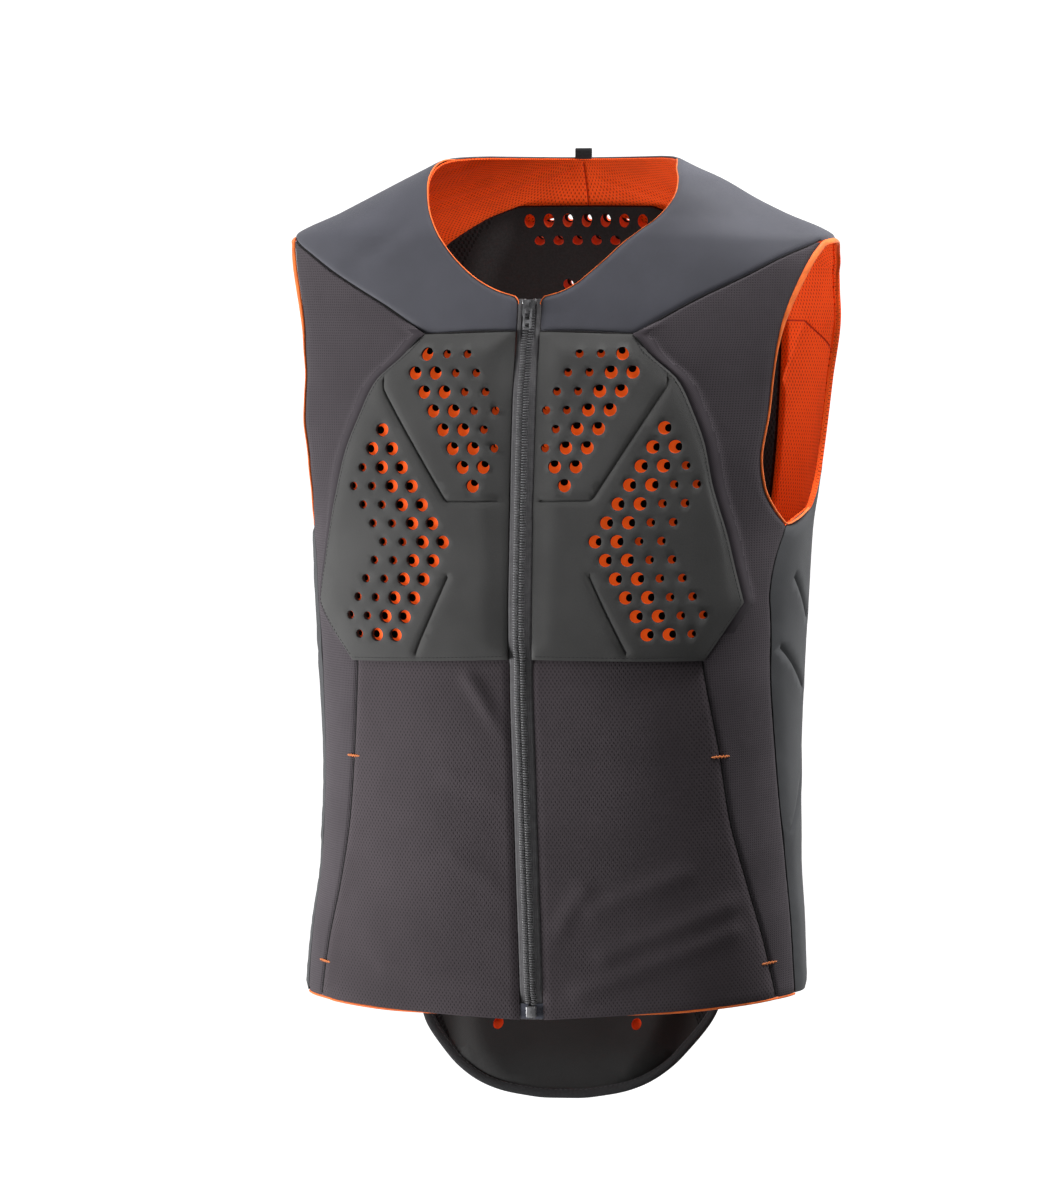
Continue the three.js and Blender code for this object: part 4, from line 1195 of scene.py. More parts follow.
def addChestPads():
    outline = padOutline()
    vents = [(u, z, ventSizes[size], cluster) for u, z, size, cluster in chestVents()]
    holes = [circle((u, z), size["radius"] + vent["flare"], size["sides"]) for u, z, size, _ in vents]
    lines = grooveLines(chestGrooves, chestPad["grooveWidth"])
    lines += [insetLine(outline, gap) for gap in chestPad["rims"]]
    places, triangles, loops = cutPanel(outline, holes, lines, chestPad["spacing"])
    height = padHeight(places, outline)
    points = [onForm(places[:, 0], places[:, 1], height)]
    faces = [tuple(t) for t in triangles]
    slots = [0] * len(faces)
    flat = [places]
    first = len(places)
    for (u, z, size, cluster), loop in zip(vents, loops[1:]):
        sides = len(loop)
        face = height[loop].mean()
        lean = np.array(vent["lean"][cluster]) * size["lean"]
        before = list(loop)
        slot = 0
        for radius, depth, share, nextSlot in ventRings(size):
            ring = circle((u + lean[0] * share, z + lean[1] * share), radius, sides)
            points.append(onForm(ring[:, 0], ring[:, 1], face - depth))
            flat.append(ring)
            ids = list(range(first, first + sides))
            for j in range(sides):
                k = (j + 1) % sides
                faces.append((before[j], before[k], ids[k], ids[j]))
                slots.append(slot)
            before, slot = ids, nextSlot
            first += sides
        # each vent is closed at its foot by a cap in the painted shade
        faces.append(tuple(before))
        slots.append(2)
    # plain inner face and the edge wall
    lowPlaces, lowTriangles, lowLoops = cutPanel(outline, [], [], chestPad["innerSpacing"])
    points.append(onForm(lowPlaces[:, 0], lowPlaces[:, 1], 0.0))
    flat.append(lowPlaces)
    faces += [tuple(first + i for i in reversed(t)) for t in lowTriangles]
    slots += [4] * len(lowTriangles)
    count = len(outline)
    for k in range(count):
        a, b = loops[0][k], loops[0][(k + 1) % count]
        c, d = first + lowLoops[0][(k + 1) % count], first + lowLoops[0][k]
        faces.append((a, b, c, d))
        slots.append(0)
    solid = np.concatenate(points), faces, np.concatenate(flat)
    for piece in addPair("chest_pad_", "_foam", solid, padLooks, "chest_foam", slots=slots, crease=60):
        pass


addChestPads()
print("chest pads made")

# Back panel, moulded in one from side seam to side seam. Its places are measured from the centre back.
backPanel = {"spacing": 7.0, "thickness": 4.0, "fill": 0.5, "edgeFall": 2.2, "edgeWidth": 4.5,
             "grooveDepth": 2.0, "grooveWidth": 1.8, "swell": 0.6, "swellAt": 7, "swellWidth": 5,
             "ventFall": 0.8, "ventWidth": 1.2}
backVents = ((-46, (0, 16, 32, 48)), (-60, (8, 24, 40)), (-98, (18,)))
tailVents = ((-701, (59,)),)
backVent = {"radius": 4.3, "panelRadius": 2.6, "panelRise": 1.7, "foamRise": 4.0, "sides": 20}
backGrooves = (((226, -322), (262, -356)), ((208, -376), (256, -412)), ((258, -478), (220, -522)))


def backPlaces(rows):
    found = []
    for z, reach in rows:
        for r in reach:
            found += [(-r, z), (r, z)] if r else [(0, z)]
    return found


def onBack(places, out):
    return onForm(halfRound(places[:, 1]) + places[:, 0], places[:, 1], out)


def backOutline():
    lowZ = np.linspace(hem + 0.2, armholeFoot, 56)
    left = [np.stack([outerSeam(lowZ) - lap - halfRound(lowZ), lowZ], 1)]
    rear = np.linspace(rearZ[0], rearZ[-1], 40)
    left.append(np.stack([rearEdge(rear) - halfRound(rear), rear], 1))
    share = np.linspace(0, 1, 40)[1:]
    top, topZ = between(yokeEdge[-1], yokeEdgeZ[-1] + lap, halfRound(yokeBackZ), yokeBackZ + lap, share)
    left.append(np.stack([top - halfRound(topZ), topZ], 1))
    left = np.concatenate(left)
    left[-1, 0] = 0
    right = left[-2::-1] * (-1, 1)
    hemLine = resample([right[-1], left[0]], 7.0)[1:-1]
    return np.concatenate([left, right, hemLine])


def backGrooveLines():
    lines = []
    for groove in backGrooves:
        line = np.array([(a - float(halfRound(z)), z) for a, z in groove])
        lines += [line, line * (-1, 1)]
    return lines


def thickPanel(outline, holes, lines, spacing, outerHeight, innerHeight):
    # closed slab over a flat outline on the back, with holes right through
    places, triangles, loops = cutPanel(outline, holes, lines, spacing)
    top = onBack(places, outerHeight(places))
    low = onBack(places, innerHeight(places))
    count = len(places)
    faces = [tuple(t) for t in triangles] + [tuple(count + i for i in reversed(t)) for t in triangles]
    slots = [0] * len(triangles) + [1] * len(triangles)
    for n, loop in enumerate(loops):
        for a, b in zip(loop, loop[1:] + loop[:1]):
            faces.append((a, b, count + b, count + a))
            slots.append(2 if n else 0)
    return places, np.concatenate([top, low]), faces, np.tile(places, (2, 1)), slots


def addBackPanel():
    outline = backOutline()
    grooves = backGrooveLines()
    holes = [circle((u, z + backVent["panelRise"]), backVent["panelRadius"], backVent["sides"])
             for u, z in backPlaces(backVents)]

    def outerHeight(places):
        distance = lineDistance(places, outline, True)
        height = backPanel["thickness"] - backPanel["edgeFall"] * hump(distance, backPanel["edgeWidth"])
        height = pressGrooves(height, places, grooves, backPanel)
        for hole in holes:
            gap = np.linalg.norm(places - hole.mean(0), axis=1) - backVent["panelRadius"]
            height = height - backPanel["ventFall"] * hump(gap, backPanel["ventWidth"])
        return height

    _, points, faces, flat, slots = thickPanel(
        outline, holes, grooveLines(grooves, backPanel["grooveWidth"]), backPanel["spacing"], outerHeight,
        lambda p: np.zeros(len(p)))
    piece = addMesh("back_panel_foam", points, faces, flat, ["backFoam", "backFoam", "backOrange"], slots, 60)
    place(piece, "back_foam", ["back_panel"])


addBackPanel()
print("back panel made")

# Orange lining inside the back, beside the protector, with a slack fold and a seam in the armhole
backLining = {"columns": 60, "reach": 0.5, "outer": -0.7, "inner": -2.0, "flat": (0.14, 0.60), "area": 0.079,
              "lap": 0.3, "creaseHeight": 0.2, "fold": ((353, -126), (376, -184)), "foldWidth": 3.0,
              "foldFade": 26, "foldHeight": 7.0, "foldTop": (-3, 12), "foldFoot": (-26, 6),
              "seam": ((378, -126), (353, -126), (308, -149)), "seamSize": (1.5, 1.0), "seamRise": 0.3}


def liningFold(around, z):
    # the lining is slack on one side of a line, and tight on the other
    (a, top), (b, low) = backLining["fold"]
    width = backLining["foldWidth"]
    beside = (a + (b - a) * (top - z) / (top - low)) - around
    rise = smoothStep(beside, -width, width) * np.exp(-np.maximum(beside, 0) / backLining["foldFade"])
    start = smoothStep(top - z, *backLining["foldTop"])
    return backLining["foldHeight"] * rise * start * (1 - smoothStep(low - z, *backLining["foldFoot"]))


def addBackLinings():
    share = np.linspace(0, backLining["reach"], backLining["columns"])[None]
    lowZ = np.linspace(hem, armholeFoot, 60)
    rear = np.linspace(rearZ[0], rearZ[-1], 44)
    sideZ = np.concatenate([lowZ, rear])
    sideAround = np.concatenate([outerSeam(lowZ), rearEdge(rear)]) + backLining["lap"]
    centreZ = np.concatenate([lowZ, np.interp(rear, (rearZ[0], rearZ[-1]), (rearZ[0], yokeBackZ))])
    ends = (sideAround, sideZ, halfRound(centreZ), centreZ)
    around, z = between(*(end[:, None] for end in ends), share)
    flat = np.tile(gridPlaces(around, z), (2, 1))
    creases = backLining["creaseHeight"] * np.sin(around / 8 + z / 23) * np.sin(z / 39)
    inner = backLining["inner"] - liningFold(around, z) + creases
    solid, faces = shell(around, z, backLining["outer"], inner)
    line = resample(backLining["seam"], 2.0)
    points, normals, across = pathFrames(line[:, 0], line[:, 1])
    out = backLining["inner"] - backLining["seamRise"] - liningFold(line[:, 0], line[:, 1])
    path = points + normals * out[:, None]
    seam, seamFaces, seamFlat = tube(path, normals, across, *backLining["seamSize"], 6)
    for side in ("left", "right"):
        piece = addMesh("back_lining_" + side + "_cloth", onSide(side, solid), faces, flat, ["armLining"])
        place(piece, "orange_lining", ["back_lining_" + side])
        piece = addMesh("back_lining_seam_" + side, onSide(side, seam), seamFaces, seamFlat, ["liningSeam"])
        place(piece, "orange_lining")


addBackLinings()
print("back linings made")

# Back protector: thick foam with thin mesh wings, and a tail below the hem
protector = {"spacing": 6.0, "face": -4.0, "edge": 5.0, "middle": 13.0, "crown": 30.0, "crownLap": 4,
             "fill": 0.95, "discDepth": 2.6, "wingGap": 1, "tailFrom": -610}
# outer face, inner face, vents, wings, tail; the faces and the tail are one black foam, painted darker as
# shade inside the vest and lighter as light on the tail
protectorLooks = ("protectorFoam", "protectorFoam", "backOrange", "wingMesh", "tailFoam")
protectorZ = (-746, -741, -732, -716, -680, -640, -530, -400, -260, -130, -95, -62, -44, -33)
protectorReach = (18, 50, 73, 94, 121, 125, 124, 130, 158, 163, 150, 116, 86, 56)
foamReach = (18, 50, 73, 94, 104, 104, 104, 108, 112, 112, 106, 92, 74, 50)
tailBinding = {"rows": 6, "gap": -1.2, "width": 8.6, "thickness": 4.2, "sides": 14, "fill": 0.5}
tailTop = protectorZ[tailBinding["rows"] - 1]


def levelsThrough(heights, step):
    # levels about this far apart, with at least three steps from each height to the next
    levels = []
    for low, high in zip(heights[:-1], heights[1:]):
        levels += list(np.linspace(low, high, max(3, int((high - low) / step)) + 1)[:-1])
    return np.array(levels + [heights[-1]])


def addProtector():
    levels = levelsThrough(protectorZ, protector["spacing"])
    reach = smoothAt(protectorZ, protectorReach, levels)
    left = np.stack([-reach, levels], 1)
    top = resample([left[-1], (reach[-1], levels[-1])], protector["spacing"])[1:-1]
    right = left[::-1] * (-1, 1)
    bottom = resample([right[-1], left[0]], protector["spacing"])[1:-1]
    outline = np.concatenate([left, top, right, bottom])
    vents = [(u, z + backVent["foamRise"]) for u, z in backPlaces(backVents)] + backPlaces(tailVents)
    holes = [circle(p, backVent["radius"], backVent["sides"]) for p in vents]

    def innerHeight(places):
        wide = smoothAt(protectorZ, foamReach, places[:, 1]) - np.abs(places[:, 0])
        ends = np.minimum(places[:, 1] - protectorZ[0], protectorZ[-1] - places[:, 1])
        crownLap = protector["crownLap"]
        crown = smoothStep(np.minimum(wide, ends), -crownLap, protector["crown"] - crownLap)
        edge = protector["edge"] * 0.6
        return protector["face"] - edge - (protector["middle"] - edge) * crown

    places, points, faces, flat, slots = thickPanel(
        outline, holes, [], protector["spacing"], lambda p: np.full(len(p), protector["face"]), innerHeight)
    for loop, spot in zip(holes, vents):
        if spot[1] > tailTop:
            continue
        disc = onBack(loop, innerHeight(loop) + protector["discDepth"])
        faces.append(tuple(len(points) + i for i in range(len(loop))))
        slots.append(2)
        points = np.concatenate([points, disc])
        flat = np.concatenate([flat, loop])
    wing = np.abs(places[:, 0]) > smoothAt(protectorZ, foamReach, places[:, 1]) + protector["wingGap"]
    wing = np.concatenate([wing, wing, np.zeros(len(points) - 2 * len(places), bool)])
    # below this height the foam takes its lighter copy, painted light on the tail
    tail = points[:, 2] < protector["tailFrom"]
    for here, slot in ((wing, 3), (tail, 4)):
        slots = [slot if s < 2 and here[list(f)].all() else s for s, f in zip(slots, faces)]
    piece = addMesh("back_protector_foam", points, faces, flat, protectorLooks, slots, 60)
    place(piece, "protector_foam", ["back_protector"])


addProtector()
print("protector made")

# Bound edge round the tail
bindingStitch = {"pitch": 4.2, "length": 3.1, "width": 0.7, "height": 0.5, "offset": 0.9, "sink": 0.92}


def tailEdge(offset):
    levels = levelsThrough(protectorZ[:tailBinding["rows"]], 5)
    left = np.stack([-smoothAt(protectorZ, protectorReach, levels), levels], 1)
    bottom = resample([left[0] * (-1, 1), left[0]], 6.0)[1:-1]
    line = np.concatenate([left[::-1], bottom[::-1], left * (-1, 1)])
    line = resample(line, 4.0)
    for _ in range(3):
        line[1:-1] = (line[:-2] + 2 * line[1:-1] + line[2:]) / 4
    return line - leftOf(np.gradient(line, axis=0)) * offset


def addTailBinding():
    line = tailEdge(tailBinding["gap"] + tailBinding["width"] / 2)
    points, normals, side = pathFrames(halfRound(line[:, 1]) + line[:, 0], line[:, 1])
    middle = protector["face"] - protector["edge"] / 2
    solid = tube(points + normals * middle, normals, side, tailBinding["width"], tailBinding["thickness"],
                 tailBinding["sides"])
    piece = addMesh("tail_binding_tape", *solid, ["binding"])
    place(piece, "binding", ["tail_binding"])
    row = tailEdge(bindingStitch["offset"])
    rise = tailBinding["thickness"] / 2 * bindingStitch["sink"]
    stitches = [stitchRow(halfRound(row[:, 1]) + row[:, 0], row[:, 1],
                          lambda a, z, level=level: np.full(len(a), level), bindingStitch)
                for level in (middle + rise, middle - rise)]
    place(addMesh("tail_binding_stitches", *joinParts(stitches), ["thread"]), "binding")


addTailBinding()
print("tail binding made")

# Orange piping round the neck, tucked in at the back, and round the armholes, deeper at the rear
piping = {"gap": 0.1, "width": 1.5, "height": 2.0, "level": 0.8, "sides": 10, "wide": 3.2,
          "wideFrom": (-165, -80), "rear": (250, 275), "rearHeight": 4.6, "rearLevel": 0.5}
neckPiping = {"width": 0.75, "height": 1.3, "end": ((9.0, -109), (9.2, -107.4), (9.7, -106), (10.7, -104.8)),
              "tucked": (8.5, 10.5), "tuckIn": 0.6, "tuckDown": 1.3, "thinWidth": 0.35, "thinHeight": 0.4}


def addNeckPiping():
    ends = np.array(neckPiping["end"])
    points, normals, side = pathFrames(np.concatenate([ends[:, 0], neckAround[1:]]),
                                       np.concatenate([ends[:, 1], neckZ[1:]]))
    strip = np.maximum(np.arange(len(points)) - len(ends), 0) / yoke["rowsPerStrip"]
    shown = 1 - smoothStep(strip, *neckPiping["tucked"])
    thin, low = neckPiping["thinWidth"], neckPiping["thinHeight"]
    width = neckPiping["width"] * (thin + (1 - thin) * shown)
    height = neckPiping["height"] * (low + (1 - low) * shown)
    offset = (piping["gap"] + width / 2) * shown - neckPiping["tuckIn"] * (1 - shown)
    level = piping["level"] * shown - neckPiping["tuckDown"] * (1 - shown)
    path = points - side * offset[:, None] + normals * level[:, None]
    path[:, 0] = np.maximum(path[:, 0], 0)
    solid = tube(path, normals, side, width, height, piping["sides"])
    addPair("neck_piping_", "_band", solid, ["orangePiping"], "orange_piping")


def addArmholePiping():
    frontZ = np.linspace(armholeFoot, seamZ[-1], 70)
    strips = slice(yokeArmFront * yoke["rowsPerStrip"] + 1, (len(yokeEdge) - 1) * yoke["rowsPerStrip"])
    rear = np.linspace(rearZ[-1], rearZ[0], 56)
    around = np.concatenate([outerSeam(frontZ), edgeAround[strips], rearEdge(rear)])
    z = np.concatenate([frontZ, edgeZ[strips], rear])
    line = resample(np.stack([around, z], 1), 3.0, True)
    for _ in range(2):
        line = (np.roll(line, 1, 0) + 2 * line + np.roll(line, -1, 0)) / 4
    points, normals, side = pathFrames(line[:, 0], line[:, 1], True)
    width = piping["width"] + piping["wide"] * smoothStep(line[:, 1], *piping["wideFrom"])
    rearShare = smoothStep(line[:, 0], *piping["rear"])
    level = piping["level"] + (piping["rearLevel"] - piping["level"]) * rearShare
    height = piping["height"] + (piping["rearHeight"] - piping["height"]) * rearShare
    path = points + side * (piping["gap"] + width / 2)[:, None] + normals * level[:, None]
    solid = tube(path, normals, side, width, height, piping["sides"], True)
    # the rear of the piping takes the lining's look, with its painted glow
    slots = np.repeat(rearShare > 0.5, piping["sides"])
    addPair("armhole_piping_", "_band", solid, ["orangePiping", "orangeLining"], "orange_piping", slots=slots)


addNeckPiping()
addArmholePiping()
print("piping made")

# Orange edge of the lining under the front hem, thinner and tucked up towards the zip
hemEdge = {"from": 56, "to": 221, "full": 130, "steps": 60, "offset": 1.0, "tuck": 0.6, "width": 1.9,
           "height": 1.6, "thin": 0.3, "level": 0.5, "sides": 8}


def addHemEdges():
    around = np.linspace(hemEdge["from"], hemEdge["to"], hemEdge["steps"])
    points, normals, side = pathFrames(around, np.full(len(around), float(hem)))
    share = smoothStep(around, hemEdge["from"], hemEdge["full"])
    offset = hemEdge["offset"] * ((1 + hemEdge["tuck"]) * share - hemEdge["tuck"])
    path = points + side * offset[:, None] + normals * hemEdge["level"]
    taper = hemEdge["thin"] + (1 - hemEdge["thin"]) * share
    solid = tube(path, normals, side, hemEdge["width"] * taper, hemEdge["height"] * taper, hemEdge["sides"])
    addPair("hem_edge_", "_band", solid, ["orangePiping"], "orange_piping")


addHemEdges()
print("hem edges made")

# Zip: woven tapes, coil teeth, and a patch at the foot of each tape
zipTape = {"from": 0.1, "to": 13.0, "outer": -0.8, "inner": -2.0, "top": -105, "flat": (0.0130, 0.56),
           "rows": 120, "columns": 18, "bulge": 0.125, "bulgeFrom": (3, 8)}
zipCoil = {"pitch": 2.0, "from": -0.1, "to": 4.9, "depth": 2.2, "thick": 1.2, "level": 0.7,
           "low": -649, "high": -112}
zipLift = {"base": 1.9, "height": 4.4, "tent": 1.3, "tentFrom": 2.5, "tentWidth": 7, "box": (-648, -636),
           "low": (-384, -360), "high": (-178, -142), "slider": (-140, -130), "beside": (4.8, 6.0),
           "tuck": 2.4, "under": (8.4, 10.2)}
zipPatch = {"from": 2.6, "to": 9.2, "low": -661, "high": -649, "outer": 0.1}


def zipOut(z):
    # the zip stands level with the pads between them
    lifted = smoothStep(z, *zipLift["box"]) * (1 - smoothStep(z, *zipLift["slider"]))
    betweenPads = smoothStep(z, *zipLift["low"]) * (1 - smoothStep(z, *zipLift["high"]))
    return (zipLift["base"] + zipLift["tent"]) * lifted + zipLift["height"] * betweenPads


def zipTapeShell():
    rows = np.linspace(hem, zipTape["top"], zipTape["rows"])[:, None]
    columns = np.linspace(zipTape["from"], zipTape["to"], zipTape["columns"])[None]
    around, z = np.broadcast_arrays(columns, rows)
    bulge = zipTape["bulge"] * np.sin(z / 19) * smoothStep(around, *zipTape["bulgeFrom"])
    foot = smoothStep(z, *zipLift["box"])
    slope = zipLift["tent"] * np.clip((around - zipLift["tentFrom"]) / zipLift["tentWidth"], 0, 1) * foot
    slope = slope * (1 - smoothStep(z, *zipLift["slider"]))
    lift = np.maximum(zipOut(z) - slope, zipLift["base"] * foot * smoothStep(around, *zipLift["beside"]))
    lift = lift - zipLift["tuck"] * smoothStep(around, *zipLift["under"])
    points, faces = shell(around, z, zipTape["outer"] + bulge + lift, zipTape["inner"] + lift)
    return points, faces, np.tile(gridPlaces(around, z), (2, 1))


def addZip():
    solid, faces, flat = zipTapeShell()
    patchAround, patchZ = np.broadcast_arrays(np.linspace(zipPatch["from"], zipPatch["to"], 6)[None],
                                              np.linspace(zipPatch["low"], zipPatch["high"], 5)[:, None])
    patch, patchFaces = shell(patchAround, patchZ, zipPatch["outer"], zipTape["outer"])
    patchFlat = np.zeros((len(patch), 2))
    levels = np.arange(zipCoil["low"], zipCoil["high"], zipCoil["pitch"])
    around = np.full(len(levels), (zipCoil["from"] + zipCoil["to"]) / 2)
    toothSize = (zipCoil["to"] - zipCoil["from"], zipCoil["thick"], zipCoil["depth"])
    for side in ("left", "right"):
        piece = addMesh("zip_tape_" + side + "_weave", onSide(side, solid), faces, flat, ["zipTape"])
        place(piece, "zip_tape", ["zip_tape_" + side])
        height = levels if side == "left" else levels + zipCoil["pitch"] / 2
        centers = onForm(around, height, zipCoil["level"] + zipOut(height))
        normals = formNormal(around, height)
        along = unit(np.cross(upward, normals))
        up = np.cross(normals, along)
        teeth, toothFaces, toothFlat = manyBeads(centers, along, up, normals, *toothSize)
        teeth = onSide(side, teeth)
        piece = addMesh("zip_coil_" + side + "_teeth", teeth, toothFaces, toothFlat, ["zipCoil"])
        place(piece, "zip_coil", ["zip_coil_" + side])
        piece = addMesh("zip_patch_" + side, onSide(side, patch), patchFaces, patchFlat, ["zipPatch"])
        place(piece, "zip_tape")


addZip()
print("zip made")

# Slider, puller, stops and box keep their solid shapes, with rounded edges
hardware = {"zip_slider": (0.55, vestBody, "zipMetal"), "zip_puller": (0.4, pullerBody, "zipPull"),
            "zip_box": (0.8, vestBody, "zipPull"), "zip_stop_left": (0.6, vestBody, "zipStop"),
            "zip_stop_right": (0.6, vestBody, "zipStop")}


def addHardware():
    for node, (radius, body, look) in hardware.items():
        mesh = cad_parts[node].data.copy()
        mesh.materials.clear()
        shape = bmesh.new()
        shape.from_mesh(mesh)
        bmesh.ops.remove_doubles(shape, verts=shape.verts, dist=1e-6)
        bmesh.ops.dissolve_limit(shape, angle_limit=math.radians(1), verts=shape.verts, edges=shape.edges)
        sharp = [e for e in shape.edges if len(e.link_faces) == 2 and e.calc_face_angle(0) > math.radians(30)]
        bmesh.ops.bevel(shape, geom=sharp, offset=radius * metre, offset_type="OFFSET", segments=3,
                        profile=0.5, affect="EDGES", clamp_overlap=True)
        shape.to_mesh(mesh)
        shape.free()
        mesh.materials.append(looks[look])
        mesh.polygons.foreach_set("use_smooth", np.ones(len(mesh.polygons), bool))
        mesh.set_sharp_from_angle(angle=math.radians(45))
        piece = bpy.data.objects.new(node + "_metal", mesh)
        bpy.context.scene.collection.objects.link(piece)
        place(piece, "zip_metal", [node], body)


addHardware()
print("hardware made")

# Ribbon loop inside the back neck
hangerLoop = {"width": 13.0, "height": 10.0, "drop": 2.0, "gap": 2.4, "thickness": 1.0, "columns": 6,
              "flat": (0.013, 0.027)}


def addHangerLoop():
    low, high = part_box("hanger_loop")
    middleY = (low.y + high.y) / 2 / metre
    top = high.z / metre - hangerLoop["drop"]
    radius = hangerLoop["gap"] / 2
    foot = top - hangerLoop["height"]
    bend = top - hangerLoop["thickness"] / 2 - radius
    turn = np.linspace(0, math.pi, 13)
    line = np.concatenate([[(middleY - radius, z) for z in np.linspace(foot, bend, 8)[:-1]],
                           np.stack([middleY - radius * np.cos(turn), bend + radius * np.sin(turn)], 1),
                           [(middleY + radius, z) for z in np.linspace(bend, foot, 8)[1:]]])
    out = leftOf(np.gradient(line, axis=0)) * hangerLoop["thickness"] / 2
    columns = hangerLoop["columns"]
    width = np.linspace(-0.5, 0.5, columns) * hangerLoop["width"]
    points = []
    for edge in (line + out, line - out):
        points += [(x, y, z) for y, z in edge for x in width]
    flat = np.stack([np.repeat(lengthsAlong(line), columns), np.tile(width, len(line))], 1)
    flat = np.tile(flat, (2, 1))
    piece = addMesh("hanger_loop_ribbon", points, shellFaces(len(line), columns), flat, ["binding"])
    place(piece, "binding", ["hanger_loop"])


addHangerLoop()
print("hanger loop made")

# Stitches along the side and bottom of the pads
padStitch = {"pitch": 3.2, "length": 2.3, "width": 0.5, "height": 0.4, "inset": 2.4, "rise": 0.1,
             "side": (-376, -134), "bottom": (zipHalf + 3, 140)}


def addPadStitches():
    outline = padOutline()
    z = np.linspace(*padStitch["side"], 90)
    side = np.stack([innerSeam(z) - padStitch["inset"], z], 1)
    bottomZ = np.array([padBottomAtZip, padBottomAtSide]) + padStitch["inset"]
    bottom = np.stack([padStitch["bottom"], bottomZ], 1)

    def onPad(around, height):
        return padHeight(np.stack([around, height], 1), outline) + padStitch["rise"]

    rows = [stitchRow(line[:, 0], line[:, 1], onPad, padStitch) for line in (side, bottom)]
    addPair("pad_stitches_", "", joinParts(rows), ["thread"], "zip_tape", False)


addPadStitches()
print("pad stitches made")

# Dark lines in the seams: partly the stitching, partly painted shade in the gap where the panels meet
seamShadeLine = {"width": 1.3, "height": 1.0, "sides": 6, "endGap": 2, "rollEnd": (-136, -128), "yokeRise": 0.4,
            "padEdge": (60, 90), "padSide": 139.5, "pocketLift": 0.7, "sideLift": 0.9, "rollLift": 1.0,
            "yokeLift": 0.8, "yokeLiftAtPad": 1.6, "bottomLift": 1.4}


def addSeamShadeLines():
    pocket = np.linspace(hem + seamShadeLine["endGap"], padBottomAtSide, 90)
    outer = np.linspace(hem + seamShadeLine["endGap"], armholeFoot - seamShadeLine["endGap"], 110)
    beside = np.linspace(padBottomAtSide, padTopAtSide, 90)
    onRoll = smoothStep(beside, *sidePanel["rollFrom"]) * (1 - smoothStep(beside, *seamShadeLine["rollEnd"]))
    front = slice(0, yokeArmFront * yoke["rowsPerStrip"] + 1)
    atPad = 1 - smoothStep(edgeAround[front], *seamShadeLine["padEdge"])
    lines = (
        # distance round, height, height above the form
        (innerSeam(pocket), pocket, seamShadeLine["pocketLift"]),
        (outerSeam(outer), outer, seamShadeLine["sideLift"]),
        (innerSeam(beside), beside, seamShadeLine["rollLift"] + sidePanel["rollHeight"] * onRoll),
        (edgeAround[front], edgeZ[front] + seamShadeLine["yokeRise"],
         seamShadeLine["yokeLift"] + seamShadeLine["yokeLiftAtPad"] * atPad),
        (np.linspace(zipHalf, seamShadeLine["padSide"], 40), np.linspace(padBottomAtZip, padBottomAtSide, 40),
         seamShadeLine["bottomLift"]),
    )
    parts = []
    for around, z, out in lines:
        points, normals, side = pathFrames(around, z)
        path = points + normals * np.broadcast_to(out, len(points))[:, None]
        parts.append(tube(path, normals, side, seamShadeLine["width"], seamShadeLine["height"], seamShadeLine["sides"]))
    addPair("seam_shade_lines_", "", joinParts(parts), ["seam"], "side_mesh", False)


addSeamShadeLines()
print("seam lines made")

# Orange bar tacks at the ends of the pockets: upright threads over a row of level ones
barTack = {"heights": (-456, -632), "width": 10.0, "threads": 9, "thread": (2.6, 0.8, 0.7), "lift": 2.3,
           "slant": 0.45, "wander": 0.35, "rowThreads": 4, "rowThread": (4.6, 1.3, 0.9), "rowLift": 2.1}


def addBarTacks():
    parts = []
    for z in barTack["heights"]:
        seam = float(innerSeam(np.array([z]))[0])
        order = np.arange(barTack["threads"])
        at = np.linspace(-0.5, 0.5, barTack["threads"]) * barTack["width"] + seam
        heights = np.full(len(at), float(z)) + np.sin(order * 2.4) * barTack["wander"]
        normals = formNormal(at, heights)
        slant = np.where(order % 2, barTack["slant"], -barTack["slant"])
        along = unit(upward + np.cross(upward, normals) * slant[:, None])
        parts.append(manyBeads(onForm(at, heights, barTack["lift"]), along, np.cross(normals, along), normals,
                               *barTack["thread"]))
        count = barTack["rowThreads"]
        row = np.linspace(seam - barTack["width"] / 2, seam + barTack["width"] / 2, count)
        rowZ = np.full(count, float(z))
        normals = formNormal(row, rowZ)
        parts.append(manyBeads(onForm(row, rowZ, barTack["rowLift"]), np.cross(upward, normals),
                               np.tile(upward, (count, 1)), normals, *barTack["rowThread"]))
    addPair("bar_tacks_", "", joinParts(parts), ["tackThread"], "orange_piping", False)


addBarTacks()
print("bar tacks made")

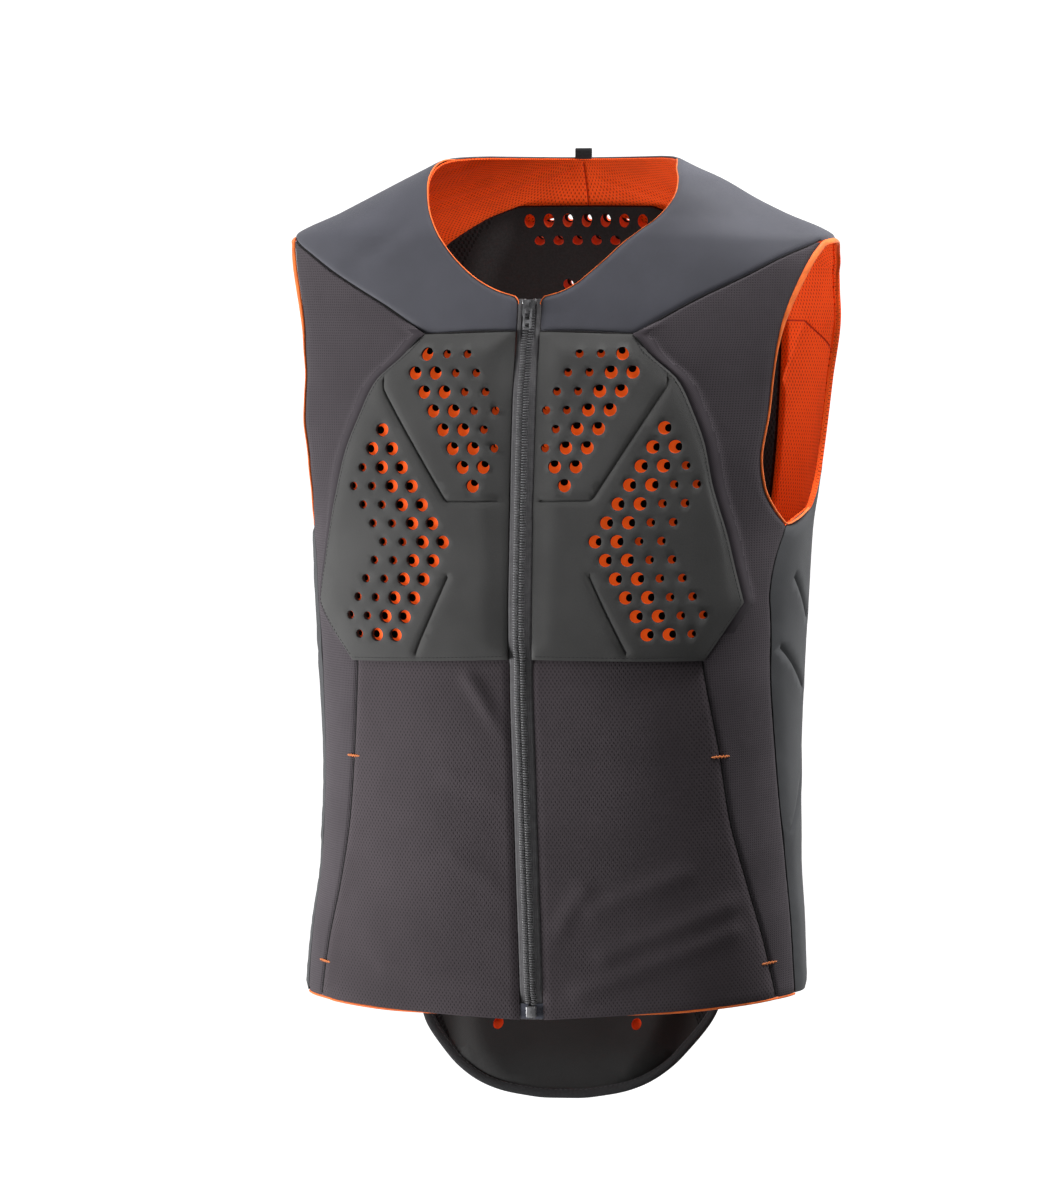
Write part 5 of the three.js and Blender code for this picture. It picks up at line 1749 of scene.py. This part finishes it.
# Pale floor with a sweep behind it, and soft studio light
studio = {"floorZ": -1.9, "depth": 3.0, "width": 12.0, "front": -7.0, "sweep": 1.6, "height": 6.0,
          "skyStrength": 0.09, "paper": (0.37, 0.39), "leastGlow": 0.05, "glow": 1.02, "glowFrom": (0.4, 1.2)}
softboxes = (
    # name, place, size, power, aims at, spread in degrees
    ("key", (-2.8, -1.0, -0.95), 1.9, 40, (0, 0, -0.35), 80),
    ("rim", (2.5, 1.2, 0.6), 1.8, 4.5, (0, 0, -0.35), 80),
    ("top", (1.1, -0.05, 2.3), 1.4, 25, (0.1, 0, 0), 70),
    ("front", (0.2, -2.0, 1.9), 1.4, 1.2, (0, 0, 0), 80),
)


def paperLook():
    # pale paper that glows behind the part
    look, tree, shader = newLook("paper", 0.9, 0.2)
    tone = spread(tree, noise(tree, 300, 2), 0.3, 0.7)
    setColor(tree, shader, blendColor(tree, tone, *((value,) * 3 for value in studio["paper"])))
    where = tree.nodes.new("ShaderNodeTexCoord")
    axes = tree.nodes.new("ShaderNodeSeparateXYZ")
    tree.links.new(where.outputs["Object"], axes.inputs[0])
    shader.inputs["Emission Color"].default_value = (1, 1, 1, 1)
    glow = spread(tree, axes.outputs[1], *studio["glowFrom"], studio["leastGlow"], studio["glow"])
    tree.links.new(glow, shader.inputs["Emission Strength"])
    return look


def addStudio():
    scene = bpy.context.scene
    scene.view_settings.view_transform = "Standard"
    scene.view_settings.look = "None"
    world = bpy.data.worlds.new("studio")
    world.use_nodes = True
    sky = world.node_tree.nodes["Background"]
    sky.inputs["Color"].default_value = (1, 1, 1, 1)
    sky.inputs["Strength"].default_value = studio["skyStrength"]
    scene.world = world
    depth, floorZ, sweep = studio["depth"], studio["floorZ"], studio["sweep"]
    profile = [(studio["front"], floorZ)]
    for turn in np.linspace(0, math.pi / 2, 16):
        profile.append((depth + sweep * math.sin(turn), floorZ + sweep * (1 - math.cos(turn))))
    profile.append((depth + sweep, floorZ + studio["height"]))
    half = studio["width"] / 2
    points = np.array([(x, y, z) for y, z in profile for x in (-half, half)]) / metre
    looks["paper"] = paperLook()
    flat = np.zeros((len(points), 2))
    floor = addMesh("studio_floor", points, gridFaces(len(profile), 2), flat, ["paper"], worn=False)
    for name, spot, size, power, aim, spreadAngle in softboxes:
        light = bpy.data.lights.new(name, "AREA")
        light.shape = "SQUARE"
        light.size = size
        light.energy = power
        light.spread = math.radians(spreadAngle)
        lamp = bpy.data.objects.new(name, light)
        lamp.location = spot
        lamp.rotation_euler = (Vector(aim) - Vector(spot)).to_track_quat("-Z", "Y").to_euler()
        scene.collection.objects.link(lamp)


addStudio()
print("studio lit")
